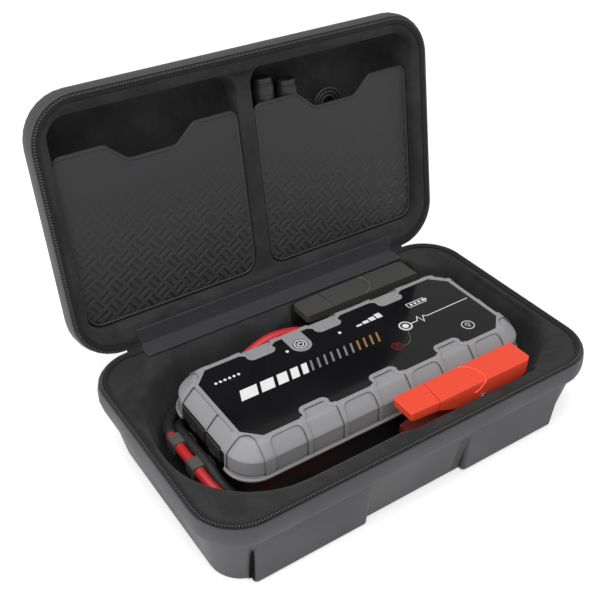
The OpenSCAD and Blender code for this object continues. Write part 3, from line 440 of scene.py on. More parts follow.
def grain_group():
    """Fine moulded grain, with slow changes of gloss and colour."""
    tree, given, out = new_group(
        "Moulded grain",
        [("Colour", COLOUR, GREY), ("Size", FLOAT, 0.0009), ("Contrast", FLOAT, 0.1)],
        [("Colour", COLOUR), ("Height", FLOAT), ("Gloss", FLOAT)],
    )
    where = place_of(tree)
    scale = number(tree, "DIVIDE", 1.0, given["Size"])
    cells = put(tree, "ShaderNodeTexVoronoi", {"Randomness": 1.0}, feature="SMOOTH_F1")
    join(tree, (where, cells.inputs["Vector"]), (scale, cells.inputs["Scale"]))
    height = number(tree, "ADD", cells.outputs["Distance"], noise(tree, where, scale, 3.0, 0.6))
    slow = noise(tree, where, 14.0, 3.0)
    shade = product(tree, number(tree, "SUBTRACT", slow, 0.5), given["Contrast"])
    colour = tinted(tree, given["Colour"], number(tree, "ADD", shade, 1.0))
    join(tree, (colour, out["Colour"]), (height, out["Height"]), (slow, out["Gloss"]))
    return tree


def edge_wear_highlight_and_shade_group():
    """Edges painted lighter, by rubbing and as painted highlights, creases darkened as painted shade, and
    fine dust on faces that look up.
    """
    tree, given, out = new_group(
        "Rubbed edges",
        [
            ("Colour", COLOUR, GREY),
            ("Worn colour", COLOUR, (0.7, 0.7, 0.7, 1)),
            ("Width", FLOAT, 0.0006),
            ("Amount", FLOAT, 0.5),
            ("Dust", FLOAT, 0.1),
            ("Crease", FLOAT, 0.5),
            ("Reach", FLOAT, 0.002),
        ],
        [("Colour", COLOUR)],
    )
    where = place_of(tree)
    facing = put(tree, "ShaderNodeNewGeometry").outputs["Normal"]
    rounded = put(tree, "ShaderNodeBevel", samples=4)
    parts = put(tree, "ShaderNodeSeparateXYZ")
    hollow = put(tree, "ShaderNodeAmbientOcclusion", samples=6, only_local=True)
    join(
        tree,
        (given["Width"], rounded.inputs["Radius"]),
        (facing, parts.inputs[0]),
        (given["Reach"], hollow.inputs["Distance"]),
    )
    # Edges painted lighter: rubbing on most parts, painted highlights along the edges of the bumper and the
    # grips
    bend = spread(tree, along_axis(tree, rounded.outputs[0], facing), 0.995, 0.9)
    patchy = spread(tree, noise(tree, where, 160.0, 4.0), 0.35, 0.65)
    edge = product(tree, bend, patchy, given["Amount"], clamp=True)
    worn = mixed(tree, edge, given["Colour"], given["Worn colour"])
    up = spread(tree, parts.outputs["Z"], 0.3, 1.0)
    specks = spread(tree, noise(tree, where, 900.0, 2.0), 0.6, 0.8)
    dusty = mixed(tree, product(tree, up, specks, given["Dust"], clamp=True), worn, DUST)
    # Painted shade: ambient occlusion within Reach darkens creases and recesses by the set amount
    closed = spread(tree, hollow.outputs["AO"], 0.92, 0.45)
    shade = number(tree, "SUBTRACT", 1.0, product(tree, closed, given["Crease"]))
    join(tree, (tinted(tree, dusty, shade), out["Colour"]))
    return tree


def weave_group():
    """Plain weave: threads over and under in two directions of the surface."""
    tree, given, out = new_group(
        "Plain weave",
        [
            ("Colour", COLOUR, (0.1, 0.1, 0.1, 1)),
            ("Along", VECTOR, (1, 0, 0)),
            ("Across", VECTOR, (0, 1, 0)),
            ("Pitch", FLOAT, 0.0006),
            ("Contrast", FLOAT, 0.4),
        ],
        [("Colour", COLOUR), ("Height", FLOAT)],
    )
    where = place_of(tree)
    waves = []
    for label in ("Along", "Across"):
        turn = number(tree, "DIVIDE", along_axis(tree, where, given[label]), given["Pitch"])
        waves.append(number(tree, "SINE", product(tree, turn, 2 * math.pi)))
    fuzz = product(tree, noise(tree, where, 1500.0, 2.0), 0.6)
    height = number(tree, "ADD", product(tree, *waves), fuzz)
    level = number(tree, "ADD", product(tree, height, given["Contrast"]), 0.85)
    join(tree, (tinted(tree, given["Colour"], level), out["Colour"]), (height, out["Height"]))
    return tree


def flock_group():
    """Short brushed pile, mottled where it lies the other way."""
    tree, given, out = new_group(
        "Flock",
        [("Colour", COLOUR, (0.05, 0.05, 0.05, 1)), ("Mottle", FLOAT, 0.5), ("Pile", FLOAT, 0.0007)],
        [("Colour", COLOUR), ("Height", FLOAT)],
    )
    where = place_of(tree)
    patch = spread(tree, noise(tree, where, 22.0, 5.0, 0.62, 0.8), 0.38, 0.62, -0.5, 0.5)
    pile = noise(tree, where, number(tree, "DIVIDE", 1.0, given["Pile"]), 3.0, 0.7)
    change = number(tree, "ADD", product(tree, patch, given["Mottle"]), number(tree, "SUBTRACT", pile, 0.5))
    colour = tinted(tree, given["Colour"], number(tree, "ADD", change, 1.0))
    join(tree, (colour, out["Colour"]), (pile, out["Height"]))
    return tree


def tread_group():
    """Pressed pairs of bars, turned in every other cell, fading out towards the free edge."""
    tree, given, out = new_group(
        "Pressed tread",
        [
            ("Cell", FLOAT, 0.0132),
            ("Along", VECTOR, (0.848, 0.0902, 0.5222)),
            ("Across", VECTOR, (-0.53, 0.1443, 0.8357)),
            ("Up", VECTOR, (0, 0.1702, 0.9854)),
            ("Full", FLOAT, 0.15),
            ("None", FLOAT, 0.275),
        ],
        [("Mask", FLOAT)],
    )
    where = place_of(tree)
    # counted in cells, from far enough away that no count is negative
    axes = []
    for label in ("Along", "Across"):
        cells = number(tree, "DIVIDE", along_axis(tree, where, given[label]), given["Cell"])
        axes.append(number(tree, "ADD", cells, 400.0))
    parity = number(tree, "ADD", *(number(tree, "FLOOR", a) for a in axes))
    turned = number(tree, "PINGPONG", parity, 1.0)
    upright = number(tree, "SUBTRACT", 1.0, turned)
    inside = [number(tree, "SUBTRACT", number(tree, "FRACT", a), 0.5) for a in axes]
    along, across = (
        number(tree, "ADD", product(tree, a, turned), product(tree, b, upright))
        for a, b in (inside, inside[::-1])
    )
    lengths = spread(tree, number(tree, "ABSOLUTE", along), 0.44, 0.36)
    pair = number(tree, "FRACT", number(tree, "ADD", product(tree, across, 2.0), 10.0))
    bars = spread(tree, number(tree, "ABSOLUTE", number(tree, "SUBTRACT", pair, 0.5)), 0.25, 0.15)
    fade = spread(tree, along_axis(tree, where, given["Up"]), given["None"], given["Full"])
    join(tree, (product(tree, lengths, bars, fade), out["Mask"]))
    return tree


GROUPS = {
    "Moulded grain": grain_group,
    "Rubbed edges": edge_wear_highlight_and_shade_group,
    "Plain weave": weave_group,
    "Flock": flock_group,
    "Pressed tread": tread_group,
}


def use_group(tree, name, **values):
    """Places a shared group, building it the first time, and gives it its values."""
    node = put(tree, "ShaderNodeGroup")
    node.node_tree = bpy.data.node_groups.get(name) or GROUPS[name]()
    for label, value in values.items():
        feed(tree, value, node.inputs[label.replace("_", " ")])
    return node.outputs


# ---------- finishes ----------


def made_once(build):
    """Builds a material the first time, and finds it by its name after that."""

    @wraps(build)
    def find(name, *values, **options):
        return bpy.data.materials.get(name) or build(name, *values, **options)

    return find


def blank(name, roughness, **constants):
    """A new material with one Principled shader and its plain values."""
    material = bpy.data.materials.new(name)
    material.use_nodes = True
    shader = material.node_tree.nodes["Principled BSDF"]
    shader.inputs["Roughness"].default_value = roughness
    for label, value in constants.items():
        shader.inputs[label.replace("_", " ")].default_value = value
    return material, material.node_tree, shader


def bump(tree, shader, height, strength, distance):
    node = put(tree, "ShaderNodeBump", {"Strength": strength, "Distance": distance})
    join(tree, (height, node.inputs["Height"]), (node.outputs[0], shader.inputs["Normal"]))


def toned(colour, times, lift=0.0):
    """A lighter or darker version of a colour."""
    return tuple(min(1, c * times + lift) for c in colour)


@made_once
def plastic(
    name, colour, roughness=0.5, grain=0.0009, depth=0.00005, wear=0.25, worn=1.5, dust=0.05,
    contrast=0.12, crease=0.7, reach=0.0026, **constants,
):
    """Moulded plastic or rubber: grain, slow gloss changes, edges lighter by rubbing and as painted
    highlights, painted shade in creases and a trace of dust.
    """
    material, tree, shader = blank(name, roughness, **constants)
    grains = use_group(tree, "Moulded grain", Colour=tuple(colour), Size=grain, Contrast=contrast)
    rubbed = use_group(
        tree, "Rubbed edges", Colour=grains["Colour"], Worn_colour=toned(colour, worn, 0.01),
        Width=0.0006, Amount=wear, Dust=dust, Crease=crease, Reach=reach,
    )
    gloss = spread(tree, grains["Gloss"], 0.35, 0.65, roughness - 0.05, roughness + 0.05)
    join(tree, (rubbed["Colour"], shader.inputs["Base Color"]), (gloss, shader.inputs["Roughness"]))
    bump(tree, shader, grains["Height"], 0.35, depth)
    return material


@made_once
def cloth(name, colour, along=(1, 0, 0), across=(0, 1, 0), pitch=0.0007, depth=0.0001):
    """Woven tape or strip."""
    material, tree, shader = blank(name, 0.85, Sheen_Weight=0.06, Sheen_Roughness=0.5)
    weave = use_group(tree, "Plain weave", Colour=tuple(colour), Along=along, Across=across, Pitch=pitch)
    join(tree, (weave["Colour"], shader.inputs["Base Color"]))
    bump(tree, shader, weave["Height"], 0.5, depth)
    return material


@made_once
def flocked(name, colour, mottle):
    """Flocked foam."""
    material, tree, shader = blank(name, 0.95, Sheen_Weight=0.08, Sheen_Roughness=0.45)
    pile = use_group(tree, "Flock", Colour=tuple(colour), Mottle=mottle)
    join(tree, (pile["Colour"], shader.inputs["Base Color"]))
    bump(tree, shader, pile["Height"], 0.6, 0.0002)
    return material


@made_once
def pressed(name, colour):
    """Laminated pocket panel with its pressed pattern."""
    material, tree, shader = blank(name, 0.6)
    grains = use_group(tree, "Moulded grain", Colour=tuple(colour), Size=0.0007, Contrast=0.3)
    mask = use_group(tree, "Pressed tread")["Mask"]
    base = mixed(tree, product(tree, mask, 0.8), grains["Colour"], toned(colour, 0.4))
    gloss = spread(tree, mask, 0.0, 1.0, 0.62, 0.4)
    join(tree, (base, shader.inputs["Base Color"]), (gloss, shader.inputs["Roughness"]))
    fine = product(tree, grains["Height"], 0.12)
    bump(tree, shader, number(tree, "SUBTRACT", fine, mask), 0.8, 0.0007)
    return material


@made_once
def metal(name, colour, roughness=0.3, scratch=0.0004):
    """Bare metal with drawn lines and slight tarnish."""
    material, tree, shader = blank(name, roughness, Metallic=1.0)
    grains = use_group(tree, "Moulded grain", Colour=colour, Size=scratch, Contrast=0.35)
    gloss = spread(tree, grains["Gloss"], 0.3, 0.7, roughness - 0.1, roughness + 0.12)
    join(tree, (grains["Colour"], shader.inputs["Base Color"]), (gloss, shader.inputs["Roughness"]))
    bump(tree, shader, grains["Height"], 0.15, 0.00003)
    return material


@made_once
def clear_plastic(name, dark, light):
    """Clear plastic with faint lines moulded in it."""
    material, tree, shader = blank(name, 0.08, Transmission_Weight=0.9, IOR=1.49)
    lines = put(tree, "ShaderNodeTexWave", {"Scale": 260.0, "Distortion": 0.2}, bands_direction="Y")
    join(tree, (place_of(tree), lines.inputs["Vector"]))
    join(tree, (mixed(tree, lines.outputs["Fac"], dark, light), shader.inputs["Base Color"]))
    bump(tree, shader, lines.outputs["Fac"], 0.2, 0.0001)
    return material


def finishes():
    """Every finish of the object, by a plain name."""
    scene = bpy.context.scene
    case, pack, lead = scene.case_settings, scene.pack_settings, scene.lead_settings
    up = (0, math.sin(math.radians(9.8)), math.cos(math.radians(9.8)))
    fresh = {"wear": 0, "worn": 1, "dust": 0}
    ink = {"grain": 0.0005, "depth": 0.00001, **fresh}
    shell = {"grain": 0.0011, "depth": 0.00007}
    hard = {"grain": 0.0006, "depth": 0.00003}
    grip = {"grain": 0.0006, "depth": 0.00004}
    return {
        "shell": plastic(
            "Moulded shell", case.shell, 0.56, **shell, wear=0.2, worn=1.35, dust=0.06, contrast=0.1
        ),
        # Half the shell's colour: painted shade of the channel beside the right front panel
        "channel": plastic("Shaded channel", toned(case.shell, 0.5), 0.6, **shell, **fresh),
        # Near black with little gloss: painted shade in the groove by the left front panel
        "slit": plastic("Dark recess", tone(12), 0.9, 0.0008, 0.00003, **fresh, Specular_IOR_Level=0.08),
        "lining": flocked("Flocked lining", case.lining, 0.55),
        "panel": pressed("Pressed panel", case.panel),
        "border": plastic("Panel border", toned(case.panel, 1.15), 0.55, 0.0006),
        "tape": cloth("Zip tape", case.tape),
        "teeth": plastic("Zip teeth", case.teeth, 0.32, 0.0005, 0.00002, 0.2),
        "thread": cloth("Sewing thread", case.thread, pitch=0.0004),
        "seam": cloth("Dark thread", toned(case.tape, 1.6), pitch=0.0004),
        "strip": cloth("Hinge strip", case.strip, (1, 0, 0), up, 0.0011, 0.0002),
        "strip thread": cloth("Strip thread", toned(case.strip, 1.15), pitch=0.0004),
        "enamel": plastic("Black enamel", tone(24), 0.22, 0.0006, 0.00001, 0.4, 4, Coat_Weight=0.4),
        # Bumper: edges painted lighter as highlights, and dark outlines painted round its windows as shade
        # in their creases
        "bumper": plastic(
            "Grey bumper", pack.bumper, 0.5, **hard, wear=0.6, worn=1.35, dust=0.04, contrast=0.06,
            crease=0.95, reach=0.0032,
        ),
        "plastic": plastic("Black plastic", pack.plastic, 0.48, **hard, wear=0.3, worn=1.8),
        "face": plastic(
            "Glossy face", pack.face, 0.13, 0.003, 0.000004, 0.1, 2, 0.04, 0.1,
            Coat_Weight=0.15, Coat_Roughness=0.05, Specular_IOR_Level=0.3,
        ),
        "white": plastic("White print", pack.white, 0.35, **ink),
        "faint": plastic("Grey print", pack.faint, 0.4, **ink),
        "ruby": plastic("Red print", pack.ruby, 0.3, **ink),
        "amber": plastic("Amber print", pack.amber, 0.4, **ink),
        "rubber": plastic("Black rubber", lead.black, 0.6, 0.0007, 0.00004, 0.15, 1.8),
        "red_rubber": plastic("Red jacket", lead.red, 0.42, 0.0009, 0.00003, 0.1, 1.3),
        # Grips: edges painted lighter as highlights, and a long occlusion reach paints shade over their
        # rounded sides
        "red grip": plastic(
            "Red grip", lead.red_grip, 0.4, **grip, wear=0.7, worn=1.4, dust=0.02, contrast=0.08,
            crease=0.85, reach=0.014,
        ),
        "black grip": plastic(
            "Black grip", lead.black_grip, 0.4, **grip, wear=0.5, worn=1.8, contrast=0.1,
            crease=0.9, reach=0.012,
        ),
        # Red lower handle at a fifth of the grip's red: painted shade, as the real handle is as red as the
        # grip
        "red handle": plastic("Red lower handle", toned(lead.red_grip, 0.2), **grip, wear=0.3, worn=1.3),
        "black handle": plastic("Black lower handle", toned(lead.black_grip, 0.7), **grip, wear=0.3),
        # Ridge lines painted lighter as highlights, and bend and fold lines painted darker as shade in
        # their creases
        "red collar": plastic("Red grip collar", toned(lead.red_grip, 1.3, 0.04), 0.4, **grip, **fresh),
        "black collar": plastic("Black grip collar", toned(lead.black_grip, 1.8), 0.4, **grip, **fresh),
        "red crease": plastic("Red grip crease", toned(lead.red_grip, 0.5), 0.6, **grip, **fresh),
        "black crease": plastic("Black grip crease", toned(lead.black_grip, 0.35), 0.6, **grip, **fresh),
        "clip": plastic("Grey clip", lead.clip, 0.5, **hard, wear=0.3, worn=1.3),
        "steel": metal("Bright steel", tone(200, 200, 203), 0.28),
        "copper": metal("Copper plate", tone(214, 150, 110), 0.34),
        "cell": metal("Cell foil", tone(150, 160, 176), 0.4, 0.002),
        "board": plastic("Circuit board", tone(24, 92, 58), 0.35, 0.0008, 0.00002, 0.2),
        "window": clear_plastic("Clear window", tone(226, 232, 238), tone(246)),
    }


# ---------- stage and cords ----------


CAMERA_PLACE = (-0.4024, -0.5240, 0.6224)
CAMERA_BACK = (-0.4518, -0.6742, 0.5842)
LENS, SENSOR_WIDTH = 55.62, 36


class SetStage(bpy.types.Operator):
    """Camera, pale floor, lamps and a plain sky"""

    bl_idname = "jumpstarter.stage"
    bl_label = "Camera and stage"

    def execute(self, context):
        scene, stage = context.scene, context.scene.stage_settings
        self.camera(scene)
        self.floor(scene, stage)
        self.lamps(scene, stage)
        self.sky(scene, stage)
        scene.view_settings.view_transform = "Standard"
        return {"FINISHED"}

    def camera(self, scene):
        lens = bpy.data.cameras.new("Camera")
        lens.sensor_width, lens.lens, lens.clip_start = SENSOR_WIDTH, LENS, 0.01
        camera = bpy.data.objects.new("Camera", lens)
        scene.collection.objects.link(camera)
        back = Vector(CAMERA_BACK).normalized()
        right = Vector((0, 0, 1)).cross(back).normalized()
        turn = Matrix((right, back.cross(right), back)).transposed().to_4x4()
        camera.matrix_world = Matrix.Translation(CAMERA_PLACE) @ turn
        scene.camera = camera

    def floor(self, scene, stage):
        half = stage.floor_size / 2
        material, tree, shader = blank("Floor", 0.8)
        shader.inputs["Base Color"].default_value = (*stage.floor, 1)
        light = put(tree, "ShaderNodeLightPath").outputs
        seen = number(tree, "MAXIMUM", light["Is Camera Ray"], light["Is Glossy Ray"])
        seen = number(tree, "MAXIMUM", seen, light["Is Transmission Ray"])
        glow, both = put(tree, "ShaderNodeEmission"), put(tree, "ShaderNodeAddShader")
        join(
            tree,
            (product(tree, seen, stage.glow), glow.inputs["Strength"]),
            (shader.outputs[0], both.inputs[0]),
            (glow.outputs[0], both.inputs[1]),
            (both.outputs[0], tree.nodes["Material Output"].inputs["Surface"]),
        )
        mesh = bpy.data.meshes.new("Floor")
        corners = [(-half, -half, 0), (half, -half, 0), (half, half, 0), (-half, half, 0)]
        mesh.from_pydata(corners, [], [(0, 1, 2, 3)])
        mesh.materials.append(material)
        floor = bpy.data.objects.new("Floor", mesh)
        floor.location.z = -0.0002
        scene.collection.objects.link(floor)

    def lamps(self, scene, stage):
        aim = Vector((0, 0, 0.1))
        for name, size, power, place in (
            ("Key lamp", 1.6, stage.key, (-0.35, -0.5, 1.9)),
            ("Side lamp", 0.9, stage.side, (-1.5, 0.1, 0.75)),
        ):
            light = bpy.data.lights.new(name, "AREA")
            light.size, light.energy = size, power
            lamp = bpy.data.objects.new(name, light)
            lamp.location = place
            lamp.rotation_euler = (aim - Vector(place)).to_track_quat("-Z", "Y").to_euler()
            scene.collection.objects.link(lamp)

    def sky(self, scene, stage):
        world = scene.world = bpy.data.worlds.new("Plain sky")
        world.use_nodes = True
        tree = world.node_tree
        light = put(tree, "ShaderNodeLightPath").outputs
        seen = number(tree, "MAXIMUM", light["Is Camera Ray"], light["Is Transmission Ray"])
        strength = number(tree, "ADD", product(tree, seen, 1 - stage.sky), stage.sky)
        background = tree.nodes["Background"].inputs
        join(tree, (strength, background["Strength"]))
        background["Color"].default_value = (1, 1, 1, 1)


# Routes of the two leads, as in the part's source, in millimetres
RED_ROUTE = [
    (154.5, 19, 40), (159.5, 19, 40), (169.3, 21.5, 39.5), (176.3, 28.5, 38.5), (178.6, 38, 37.3),
    (176.3, 47.5, 36), (169.3, 55, 34.2), (158.5, 60.8, 31.8), (145, 64.8, 28.7), (127, 66.5, 24.6),
    (106, 66.5, 21.2), (86, 66.5, 20), (68, 66.5, 21.3), (52, 66.5, 26), (38, 67, 34.4), (26, 68, 45),
    (15, 69, 56), (4, 69.3, 65.4), (-8, 69.8, 71.5), (-22, 71.5, 74), (-36, 73, 74), (-50, 73, 71),
    (-66, 72.5, 64.3), (-84, 72, 55), (-104, 72, 46.5), (-126, 70.5, 42), (-145, 63.5, 42.5),
    (-159, 51, 46.5), (-166.5, 37, 50.3), (-168.5, 24, 52), (-168.5, -24, 52), (-166, -41, 47.5),
    (-159.5, -55.5, 41), (-148, -67.5, 35), (-132, -75.5, 31), (-110, -79.3, 29.3),
    (-80, -79.5, 29.3), (-58, -80.5, 31.5), (-40, -82, 38), (-22, -85.5, 45), (-2.5, -88.6, 49.2),
    (4.48, -88.6, 49.4),
]
BLACK_ROUTE = [
    (154.5, -25, 40), (159.5, -25, 40), (169.3, -27.5, 39.5), (176, -34.5, 38), (178, -44, 36),
    (175.5, -53.3, 33.6), (169.3, -60.8, 31), (158.5, -66.8, 28), (145, -71.8, 24.8),
    (127, -75.3, 21.6), (106, -76.5, 19.4), (-70, -76.3, 19.4), (-94, -75.3, 19.6),
    (-114, -72.5, 21), (-130, -67, 24.6), (-143, -58.5, 30.3), (-152, -47.5, 38),
    (-157.2, -36, 46.3), (-158.5, -24, 52), (-158.5, 24, 52), (-156, 36.5, 47.5),
    (-148.5, 47.8, 41), (-137, 58.2, 33.8), (-120, 65.2, 26.5), (-99, 66.5, 21.6),
    (-76, 69.5, 19.4), (-56, 72.8, 20.4), (-38, 77.5, 24.2), (-23, 80, 29.3), (-6, 85.5, 35.2),
    (11, 88.5, 37.2), (17.98, 88.5, 37.4),
]
# A black tube lies on the red lead to the left of, and behind, this point of the left end
BLACK_TUBE_CORNER, BLACK_TUBE_WALL = (-0.14, 0.0265), 0.0007
CLAMP_PARTS = ("lower_arm", "upper_arm", "lower_jaw", "upper_jaw", "pivot", "spring")


class LayLeads(bpy.types.Operator):
    """The red and the black lead, from the pack's glands round to the clamps"""

    bl_idname = "jumpstarter.leads"
    bl_label = "Clamp leads"

    def execute(self, context):
        lead, finish = context.scene.lead_settings, finishes()
        for colour, route, slot in (("red", RED_ROUTE, "red_rubber"), ("black", BLACK_ROUTE, "rubber")):
            line = curved(np.array(route) * MM, 0.003)
            cord = tube(
                f"{colour}_lead_jacket", line, lead.lead_width, lead.cord_sides, "case_base",
                finish[slot],
            )
            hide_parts(f"{colour}_lead")
            on_it = [f"{colour}_{part}" for part in CLAMP_PARTS]
            if colour == "red":
                on_it.append(self.black_tube(line, lead, finish["rubber"]))
        return {"FINISHED"}

    def black_tube(self, line, lead, finish):
        """A black tube round the red lead where it rounds the pack's end."""
        covered = [p for p in line if p[0] < BLACK_TUBE_CORNER[0] and p[1] > BLACK_TUBE_CORNER[1]]
        width = lead.lead_width + 2 * BLACK_TUBE_WALL
        return tube("red_lead_black_tube", covered, width, 20, "case_base", finish)


# Ends of the adapter cable, from each plug into the hank: x and distance from the hinge
PLUG_TAIL = [
    (30, 139), (34, 127), (44, 116), (57, 110.5), (70, 110.5), (79, 117), (82.6, 127), (83.2, 140),
    (83.4, 154), (83.6, 167.7),
]
SOCKET_TAIL = [
    (54.3, 147.5), (56.3, 140.5), (61, 137.2), (66.5, 140.5), (70, 148), (71, 158), (71.3, 168),
    (73, 174), (77, 176.5), (81, 175), (83.2, 171.5), (83.6, 168.3),
]
# Where the plugs and the hank lie, in millimetres: depth in the pocket, and the hank's x and top
CABLE_DEPTH, HANK_X, HANK_TOP = 27, 100, 168
# Each half loop bends over this share of its points, and runs straight over the rest
HANK_BEND = 0.7


def pocket_mm(x, s, depth):
    """A point in the lid's pocket: x, distance from the hinge, depth behind the zip plane."""
    hinge = bpy.context.scene.case_settings.zip_depth / 2 / MM
    return (x, hinge - s, depth)


def hank_mm(loops=6, count=24, inner=5.6, pitch=3.6, run=56):
    """The hank: half its loops spiral in on one layer, the rest spiral out on the next."""
    points = []
    for i in range(loops * count + 1):
        t, k = i / count, (i % count) / count
        u = t if t < loops / 2 else loops - t
        r = inner + pitch * (loops / 2 - u)
        depth = CABLE_DEPTH - pitch / 2 + min(1, max(0, (t - loops / 2 + 0.25) * 2)) * pitch
        a, side = (2 * k, 1) if k < 0.5 else (2 * k - 1, -1)
        if a < HANK_BEND:
            turn = math.pi * a / HANK_BEND
            x, y = side * r * math.cos(turn), side * (run / 2 + r * math.sin(turn))
        else:
            x, y = -side * r, side * run / 2 * (1 - 2 * (a - HANK_BEND) / (1 - HANK_BEND))
        points.append(pocket_mm(HANK_X - x, HANK_TOP - run / 2 + y, depth))
    return points


def tail_mm(x, s, depth, turn):
    """An end of the cable: straight out of its plug, then over to the hank's layer at that depth."""
    away = [
        pocket_mm(a, b, CABLE_DEPTH + (depth - CABLE_DEPTH) * min(1, (i + 1) / 3))
        for i, (a, b) in enumerate(turn)
    ]
    return [pocket_mm(x, s, CABLE_DEPTH), pocket_mm(x, s - 5, CABLE_DEPTH), *away]


class LayCable(bpy.types.Operator):
    """The adapter cable in the right pocket, folded into a tied hank between its two plugs"""

    bl_idname = "jumpstarter.cable"
    bl_label = "Adapter cable"

    def execute(self, context):
        lead, finish = context.scene.lead_settings, finishes()
        from_plug, from_socket = tail_mm(28, 157.9, 25.2, PLUG_TAIL), tail_mm(54, 156.9, 28.8, SOCKET_TAIL)
        route = from_plug + hank_mm()[1:-1] + from_socket[::-1]
        line = curved(on_lid(np.array(route) * MM), 0.0012)
        cord = tube("adapter_cable", line, lead.cable_width, 10, "lid", finish["rubber"])
        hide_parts("adapter_hank", "adapter_tails")
        self.tie(finish["strip"])
        for node in ("adapter_plug", "adapter_socket"):
            dress(node, finish["plastic"], 0.0004)
        return {"FINISHED"}

    def tie(self, finish):
        """A soft band round the middle of the hank, thinner at its two edges."""
        outer = rounded_mm(-19.2, -4.6, 19.2, 4.6, 3.4)
        inner = rounded_mm(-18.3, -3.7, 18.3, 3.7, 2.6)
        levels = [(149, 0.25), (149.6, 0), (158.4, 0), (159, 0.25)]
        section = [(outer, s, -trim) for s, trim in levels] + [(inner, s, trim) for s, trim in levels[::-1]]
        points = []
        for j in range(len(outer)):
            for ring, s, grow in section:
                x, d = ring[j]
                points.append(pocket_mm(HANK_X + x * (1 + grow / 20), s, CABLE_DEPTH + d * (1 + grow / 5)))
        faces = quads(len(outer), len(section), closed=True, looped=True, flip=True)
        return piece("cable_tie", on_lid(np.array(points) * MM), faces, "lid", finish)


# ---------- the case ----------


def rounded_copy(name, node, voxel=0.0015, rounds=5, keep=0.35):
    """A node's form with every edge rounded over, as flocked foam is."""
    draft = bpy.data.objects.new(name + "_draft", NODES[node].data.copy())
    bpy.context.scene.collection.objects.link(draft)
    remesh = draft.modifiers.new("Even skin", "REMESH")
    remesh.mode, remesh.voxel_size, remesh.adaptivity = "VOXEL", voxel, 0
    ease = draft.modifiers.new("Ease", "SMOOTH")
    ease.factor, ease.iterations = 0.5, rounds
    thin = draft.modifiers.new("Fewer faces", "DECIMATE")
    thin.ratio = keep
    mesh = bpy.data.meshes.new_from_object(draft.evaluated_get(bpy.context.evaluated_depsgraph_get()))
    bpy.data.objects.remove(draft)
    mesh.name = name
    mesh.polygons.foreach_set("use_smooth", [True] * len(mesh.polygons))
    for label in ("custom_normal", "sharp_edge", "sharp_face"):
        if label in mesh.attributes:
            mesh.attributes.remove(mesh.attributes[label])
    return bpy.data.objects.new(name, mesh)


# Front wall of the base and face of its panels: heights and y, in millimetres
WALL = ((3, 53), (-106.5, -116.0))
PANEL_FRONT = ((2.2, 53), (-112.0, -115.9))


class FinishShells(bpy.types.Operator):
    """Moulded outside shells of the base and the lid"""

    bl_idname = "jumpstarter.shells"
    bl_label = "Case shells"

    def execute(self, context):
        finish = finishes()
        for node in ("base_shell", "lid_shell"):
            dress(node, finish["shell"], 0.0007, 24, 3)
        self.channel("right_front_channel_shade", finish["channel"], right=52.4, wide=10.5, low=3.4, high=46)
        self.slit("left_front_slit_shade", finish["slit"], edge=(-169.5, -171), low=4, high=46)
        return {"FINISHED"}

    def channel(self, name, finish, right, wide, low, high, cap=2):
        """Painted shade of a shallow channel beside a front panel: a darker sheet on the wall, rounded at
        its top, in millimetres.
        """
        rounding = cap * np.sin(np.radians([22, 45, 68, 90]))
        heights = [*np.linspace(low, high - cap, 8), *(high - cap + rounding)]
        points = []
        for z in heights:
            near_top = max(0.0, z - (high - cap)) / cap
            half = wide / 2 - cap + cap * math.sqrt(max(0.0, 1 - min(1, near_top) ** 2))
            for t, proud in ((-1, 0.05), (-0.85, 0.22), (0, 0.22), (0.85, 0.22), (1, 0.05)):
                x, y = right - wide / 2 + t * half, np.interp(z, *WALL) - proud
                points.append((x * MM, y * MM, z * MM))
        piece(name, points, quads(len(heights), 5), "case_base", finish)

    def slit(self, name, finish, edge, low, high, rows=10, cap=2.4):
        """Painted shade in the corner between the wall and a front panel's left side: a dark sheet over the
        groove and the panel's side, in millimetres.
        """
        points = []
        for z in np.linspace(low, high, rows + 1):
            x = np.interp(z, WALL[0], edge) - 0.25
            wall, front = np.interp(z, *WALL), np.interp(z, *PANEL_FRONT) + 0.9
            wide = cap * math.sqrt(max(0.0, 1 - max(0.0, (z - high + cap) / cap) ** 2)) + 0.3
            outer = max(front, wall - 6) if front < wall - 0.3 else wall - 0.3
            for px, py in (
                (x - wide, wall - 0.02),
                (x - wide + 0.2, wall - 0.2),
                (x, wall - 0.22),
                (x, (wall + outer) / 2),
                (x, outer),
            ):
                points.append((px * MM, py * MM, z * MM))
        piece(name, points, quads(rows + 1, 5), "case_base", finish)


class MakeLinings(bpy.types.Operator):
    """Flocked foam linings of the base and the lid"""

    bl_idname = "jumpstarter.linings"
    bl_label = "Linings"

    def execute(self, context):
        finish = finishes()
        for name, node, body in (
            ("base_foam", "base_lining", "case_base"),
            ("lid_foam", "lid_lining", "lid"),
        ):
            foam = settle(rounded_copy(name, node), body, finish["lining"])
            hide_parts(node)
        return {"FINISHED"}


